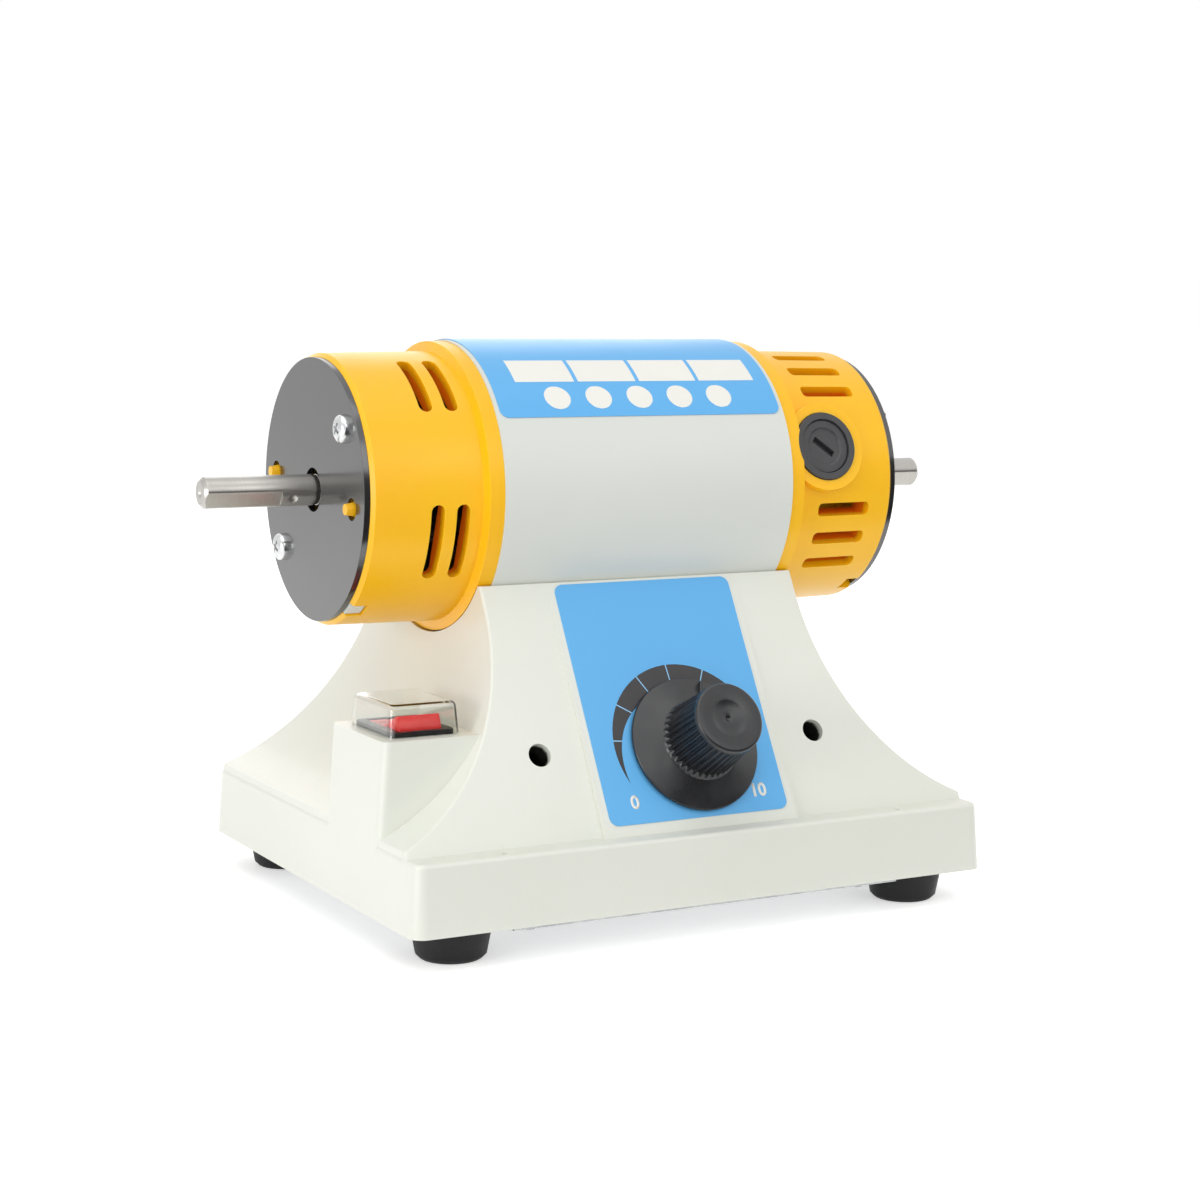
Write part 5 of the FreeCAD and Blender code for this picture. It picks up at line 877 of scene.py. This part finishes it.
def collar(station, turn, foot, length, width, corner):
    """The moulded collar under one vent: the slot's outline drawn inwards, and its wall thickened outwards."""
    clear_selection()
    bpy.ops.mesh.primitive_plane_add(size=1)
    piece = bpy.context.object
    piece.scale = (length + 2 * COLLAR_STEP, width + 2 * COLLAR_STEP, 1)
    bpy.ops.object.transform_apply(scale=True)
    bpy.ops.object.mode_set(mode="EDIT")
    bpy.ops.mesh.select_all(action="SELECT")
    bpy.ops.mesh.bevel(offset=corner, segments=5, affect="VERTICES")
    bpy.ops.mesh.delete(type="ONLY_FACE")
    bpy.ops.mesh.select_all(action="SELECT")
    bpy.ops.mesh.extrude_region_move(TRANSFORM_OT_translate={"value": (0, 0, foot - COLLAR_TOP)})
    bpy.ops.mesh.select_all(action="SELECT")
    bpy.ops.mesh.normals_make_consistent(inside=False)
    bpy.ops.object.mode_set(mode="OBJECT")
    thickened(piece, COLLAR_WALL)
    settle(piece, on_drum(station, turn, COLLAR_TOP))
    return piece


# the caps' lighter yellow edges are a painted highlight
cap_yellow = finish("cap_yellow", CAP_YELLOW, CAP_AMBER, rough=(0.30, 0.38), patch=(16.0, 0.6),
                    grain=(1500.0, 0.00002), dust=0.04,
                    edge_wear_and_sheen={"wear_and_painted_light": (255, 214, 70), "width": 0.0006, "amount": 0.4})
collars = {"left": [], "right": []}
for half in (CAP_TURN, CAP_TURN + 180):
    for station in CURVED_STATIONS:
        for turn in CURVED_TURNS:
            collars["left"].append(collar(station, half + turn, CURVED_FOOT, VENT_WIDTH, CURVED_LENGTH,
                                          CURVED_CORNER))
    for turn in STRAIGHT_TURNS:
        collars["right"].append(collar(STRAIGHT_STATION, half + turn, STRAIGHT_FOOT, STRAIGHT_LENGTH, VENT_WIDTH,
                                       STRAIGHT_CORNER))
shader = cap_yellow.node_tree.nodes["Principled BSDF"]
shader.inputs["Subsurface Weight"].default_value = 0.2
shader.inputs["Subsurface Radius"].default_value = (1.0, 0.42, 0.08)
shader.inputs["Subsurface Scale"].default_value = 0.002
# the collars are painted a deeper orange: painted shade, standing in for light bounced inside the vents
vent_painted_shade = finish("vent_painted_shade", COLLAR_SHADED_ORANGE, COLLAR_SHADED_AMBER, rough=(0.34, 0.44), patch=(60.0, 0.6),
                    grain=(1500.0, 0.00002))
for side in ("left", "right"):
    cap = fettled(side + "_end_cap", CAP_EDGE)
    mark(cap, "VERT", lambda corner: abs(corner.co.x) > RIM_X
         and math.hypot(corner.co.y - AXIS_Y, corner.co.z - AXIS_Z) > RIM_REACH)
    bpy.ops.transform.resize(value=(1, RIM_DRAFT, RIM_DRAFT), center_override=(0, AXIS_Y, AXIS_Z))
    bpy.ops.object.mode_set(mode="OBJECT")
    for turn in POST_TURNS:
        post = Vector((0, AXIS_Y - POST_REACH * math.cos(math.radians(turn)),
                       AXIS_Z + POST_REACH * math.sin(math.radians(turn))))
        mark(cap, "VERT", lambda corner: abs(corner.co.x) > POST_TIP_X
             and (corner.co.yz - post.yz).length < POST_WIDTH)
        bpy.ops.transform.resize(value=(1, POST_TAPER, POST_TAPER), center_override=post)
        bpy.ops.object.mode_set(mode="OBJECT")
    smoothed(cap)
    dress(cap, cap_yellow)
    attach(cap, "machine")
    lining = joined(side + "_vent_collars", *collars[side])
    smoothed(lining)
    dress(lining, vent_painted_shade)
    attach(lining, "machine")

# a light-grey moulded insert fills the left cap's notch
clear_selection()
bpy.ops.mesh.primitive_cube_add(size=1)
insert = bpy.context.object
insert.name = "left_notch_insert"
settle(insert, on_drum(*INSERT_PLACE) @ Matrix.Diagonal((*INSERT_SIZE, 1)))
eased(insert, INSERT_EDGE)
smoothed(insert)
dress(insert, drum_grey)
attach(insert, "machine")


# END DISCS
# A thin disc of glossy near-black plate covers each cap's face round the spindle. It mirrors the room,
# so from the front it looks grey, with the spindle's reflection dark across it.
DISC_BLACK = (32, 31, 32)
DISC_SHADE = (28, 27, 28)
DISC_EDGE = 0.00015

disc_grey = finish("disc_grey", DISC_BLACK, DISC_SHADE, rough=(0.14, 0.20), patch=(30.0, 0.5),
                   grain=(2600.0, 0.000004), ior=2.05, dust=0.03)
for side in ("left", "right"):
    plate = fettled(side + "_end_disc", DISC_EDGE)
    dress(plate, disc_grey)
    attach(plate, "machine")


# TIE BOLTS
# Two long bolts run through both caps and the stator and hold the motor together. Their pan heads, with
# a cross recess, stand on the left disc and their nuts on the right one. All are bright zinc plate.
BOLT_REACH = 0.0333
BOLT_TURNS = (38.0, 218.0)
HEAD_X = -0.098
BOLT_COLUMNS = 40
BOLT_OUTLINE = ((0.0025, -0.2000), (0.0025, 0.0), (0.0045, 0.0), (0.0045, 0.0010), (0.0043, 0.0017),
                (0.0037, 0.0023), (0.0028, 0.00265), (0.0015, 0.0028))
RECESS = (0.0050, 0.00105, 0.0018)
RECESS_TURNS = (20, 110)
RECESS_FOOT = (0.45, 0.6)
RECESS_OVERRUN = 0.0002
HEAD_SMOOTH = 32.0
NUT_EDGE = 0.0004

bolts = []
for turn in BOLT_TURNS:
    bolt = turned_form("tie_bolt", BOLT_OUTLINE, BOLT_COLUMNS)
    for across in RECESS_TURNS:
        clear_selection()
        bpy.ops.mesh.primitive_cube_add(size=1)
        blade = bpy.context.object
        mark(blade, "FACE", lambda face: face.normal.z < -0.5)
        bpy.ops.transform.resize(value=(*RECESS_FOOT, 1), center_override=(0, 0, -0.5))
        bpy.ops.object.mode_set(mode="OBJECT")
        settle(blade, Matrix.Translation((0, 0, BOLT_OUTLINE[-1][1] - RECESS[2] / 2 + RECESS_OVERRUN))
               @ Matrix.Rotation(math.radians(across), 4, "Z") @ Matrix.Diagonal((*RECESS, 1)))
        carved(bolt, blade)
    settle(bolt, on_drum(HEAD_X, turn, BOLT_REACH) @ Matrix.Rotation(-math.pi / 2, 4, "Y"))
    bolts.append(bolt)
bolts = joined("tie_bolts_finished", *bolts)
smoothed(bolts, turn=HEAD_SMOOTH)
bright_zinc = finish("bright_zinc", (222, 223, 222), (190, 192, 196), rough=(0.12, 0.26), patch=(420.0, 0.6),
                     grain=(2600.0, 0.00002), metal=1.0)
dress(bolts, bright_zinc)
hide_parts("tie_bolts")
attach(bolts, "machine")
nuts = fettled("tie_bolt_nuts", NUT_EDGE)
dress(nuts, bright_zinc)
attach(nuts, "machine")


# SPINDLE
# A ground steel spindle runs right through the motor. Each end has a chamfer, a centre hole, a flat for
# a grub screw with a drilled spot beyond it, and fine grinding marks round it.
STEEL = (192, 189, 184)
STEEL_SHADE = (150, 147, 142)
SPINDLE_EDGE = 0.00015
SPOT_STATION = 0.1062
SPOT_TURN = -30.0
SPOT_RADIUS = 0.0020
SPOT_REACH = 0.0062

spindle_steel = finish("spindle_steel", STEEL, STEEL_SHADE, rough=(0.31, 0.39), patch=(60.0, 0.3),
                       grain=(2600.0, 0.000008), metal=1.0,
                       rings={"centre": (0, AXIS_Y, AXIS_Z), "axis": (1, 0, 0), "scale": 2600.0, "tint": 0.3})
spindle = fettled("spindle", SPINDLE_EDGE)
for side in (-1, 1):
    clear_selection()
    bpy.ops.mesh.primitive_uv_sphere_add(segments=32, ring_count=16, radius=SPOT_RADIUS)
    spot_drill = bpy.context.object
    settle(spot_drill, on_drum(side * SPOT_STATION, SPOT_TURN, SPOT_REACH))
    carved(spindle, spot_drill)
smoothed(spindle)
dress(spindle, spindle_steel)
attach(spindle, "spindle")


# BRUSH GEAR
# In each boss of the right cap sits a black phenolic holder with a carbon brush and its spring. A round
# screwed cap closes it: a raised rim, a shallow dish and a deep slot for a coin or driver.
BRUSH_STATION = 0.0684
BRUSH_TURNS = (16.5, 196.5)
CAP_FACE = 0.0446
SLOT = (0.0088, 0.0023, 0.0030)
SLOT_TURN = -38.0
BRUSH_CAP_COLUMNS = 64
BRUSH_CAP_OUTLINE = ((0.00645, -0.0091), (0.00645, -0.0026), (0.0091, -0.0026), (0.0091, -0.0003),
                     (0.0088, 0.0), (0.0066, 0.0), (0.0064, -0.00015), (0.0061, -0.0007), (0.0030, -0.0008))
MOULDING = (62, 62, 64)
MOULDING_SHADE = (76, 76, 78)
HOLDER_EDGE = 0.0003
LID_EDGE = 0.00012

brush_moulding = finish("brush_moulding", MOULDING, MOULDING_SHADE, rough=(0.34, 0.50), patch=(220.0, 0.5),
                        grain=(2400.0, 0.00003), dust=0.10,
                        edge_wear_and_sheen={"wear_and_painted_light": (104, 104, 106), "width": 0.0003, "amount": 0.5})
for end, turn in zip(("front", "rear"), BRUSH_TURNS):
    holder = fettled("brush_holder_" + end, HOLDER_EDGE)
    dress(holder, brush_moulding)
    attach(holder, "machine")
    lid = turned_form("brush_cap_" + end + "_finished", BRUSH_CAP_OUTLINE, BRUSH_CAP_COLUMNS)
    clear_selection()
    bpy.ops.mesh.primitive_cube_add(size=1)
    cutter = bpy.context.object
    settle(cutter, Matrix.Rotation(math.radians(SLOT_TURN), 4, "Z") @ Matrix.Diagonal((*SLOT[:2], 2 * SLOT[2], 1)))
    carved(lid, cutter)
    eased(lid, LID_EDGE, segments=1)
    smoothed(lid)
    settle(lid, on_drum(BRUSH_STATION, turn, CAP_FACE))
    dress(lid, brush_moulding)
    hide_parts("brush_cap_" + end)
    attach(lid, "machine")
carbon = finish("carbon", (38, 38, 40), (50, 50, 52), rough=(0.45, 0.6), patch=(400.0, 0.6),
                grain=(2800.0, 0.00003))
coat_nodes(carbon, "carbon_brush_front", "carbon_brush_rear")


# INSIDE THE MOTOR
# Stacks of steel laminations with enamelled copper windings, a copper commutator, a nylon fan and two
# ball bearings. They show only as dark shapes behind the vents.
laminated_steel = finish("laminated_steel", (122, 122, 126), (84, 84, 90), rough=(0.38, 0.55), patch=(60.0, 0.5),
                         grain=(2600.0, 0.00003), metal=1.0,
                         rings={"centre": (0, AXIS_Y, AXIS_Z), "axis": (1, 0, 0), "scale": 900.0, "tint": 0.8})
coat_nodes(laminated_steel, "stator_stack", "armature_stack")
copper_winding = finish("copper_winding", (176, 96, 48), (140, 68, 30), rough=(0.24, 0.40), patch=(500.0, 0.8),
                        grain=(1500.0, 0.0002), metal=0.8)
coat_nodes(copper_winding, "armature_windings", "field_coil_upper", "field_coil_lower", "choke_coil")
commutator_copper = finish("commutator_copper", (196, 120, 78), (150, 84, 52), rough=(0.20, 0.36),
                           patch=(120.0, 0.5), grain=(2600.0, 0.00002), metal=1.0,
                           rings={"centre": (0, AXIS_Y, AXIS_Z), "axis": (1, 0, 0), "scale": 1400.0, "tint": 0.6})
coat_nodes(commutator_copper, "commutator")
fan_black = finish("fan_black", (40, 40, 42), (54, 54, 56), rough=(0.40, 0.55), patch=(120.0, 0.5),
                   grain=(2400.0, 0.00003), dust=0.2)
coat_nodes(fan_black, "cooling_fan")
bearing_steel = finish("bearing_steel", (205, 206, 208), (180, 182, 186), rough=(0.08, 0.18), patch=(120.0, 0.5),
                       grain=(2600.0, 0.000006), metal=1.0,
                       rings={"centre": (0, AXIS_Y, AXIS_Z), "axis": (1, 0, 0), "scale": 2200.0, "tint": 0.5})
coat_nodes(bearing_steel, "left_bearing_outer", "left_bearing_inner", "right_bearing_outer", "right_bearing_inner",
           "brush_spring_front", "brush_spring_rear")


# CONTROL BOARD
# The speed controller stands on brass posts in the base: a green board with a film capacitor, a choke
# and a terminal block.
board_green = finish("board_green", (22, 104, 58), (16, 84, 46), rough=(0.22, 0.36), patch=(180.0, 0.8),
                     grain=(1600.0, 0.00003), coat=0.3)
coat_nodes(board_green, "control_board", "terminal_block")
film_capacitor = finish("film_capacitor", (206, 96, 28), (188, 82, 20), rough=(0.24, 0.36), patch=(200.0, 0.5),
                        grain=(2000.0, 0.00002), coat=0.3)
coat_nodes(film_capacitor, "capacitor")
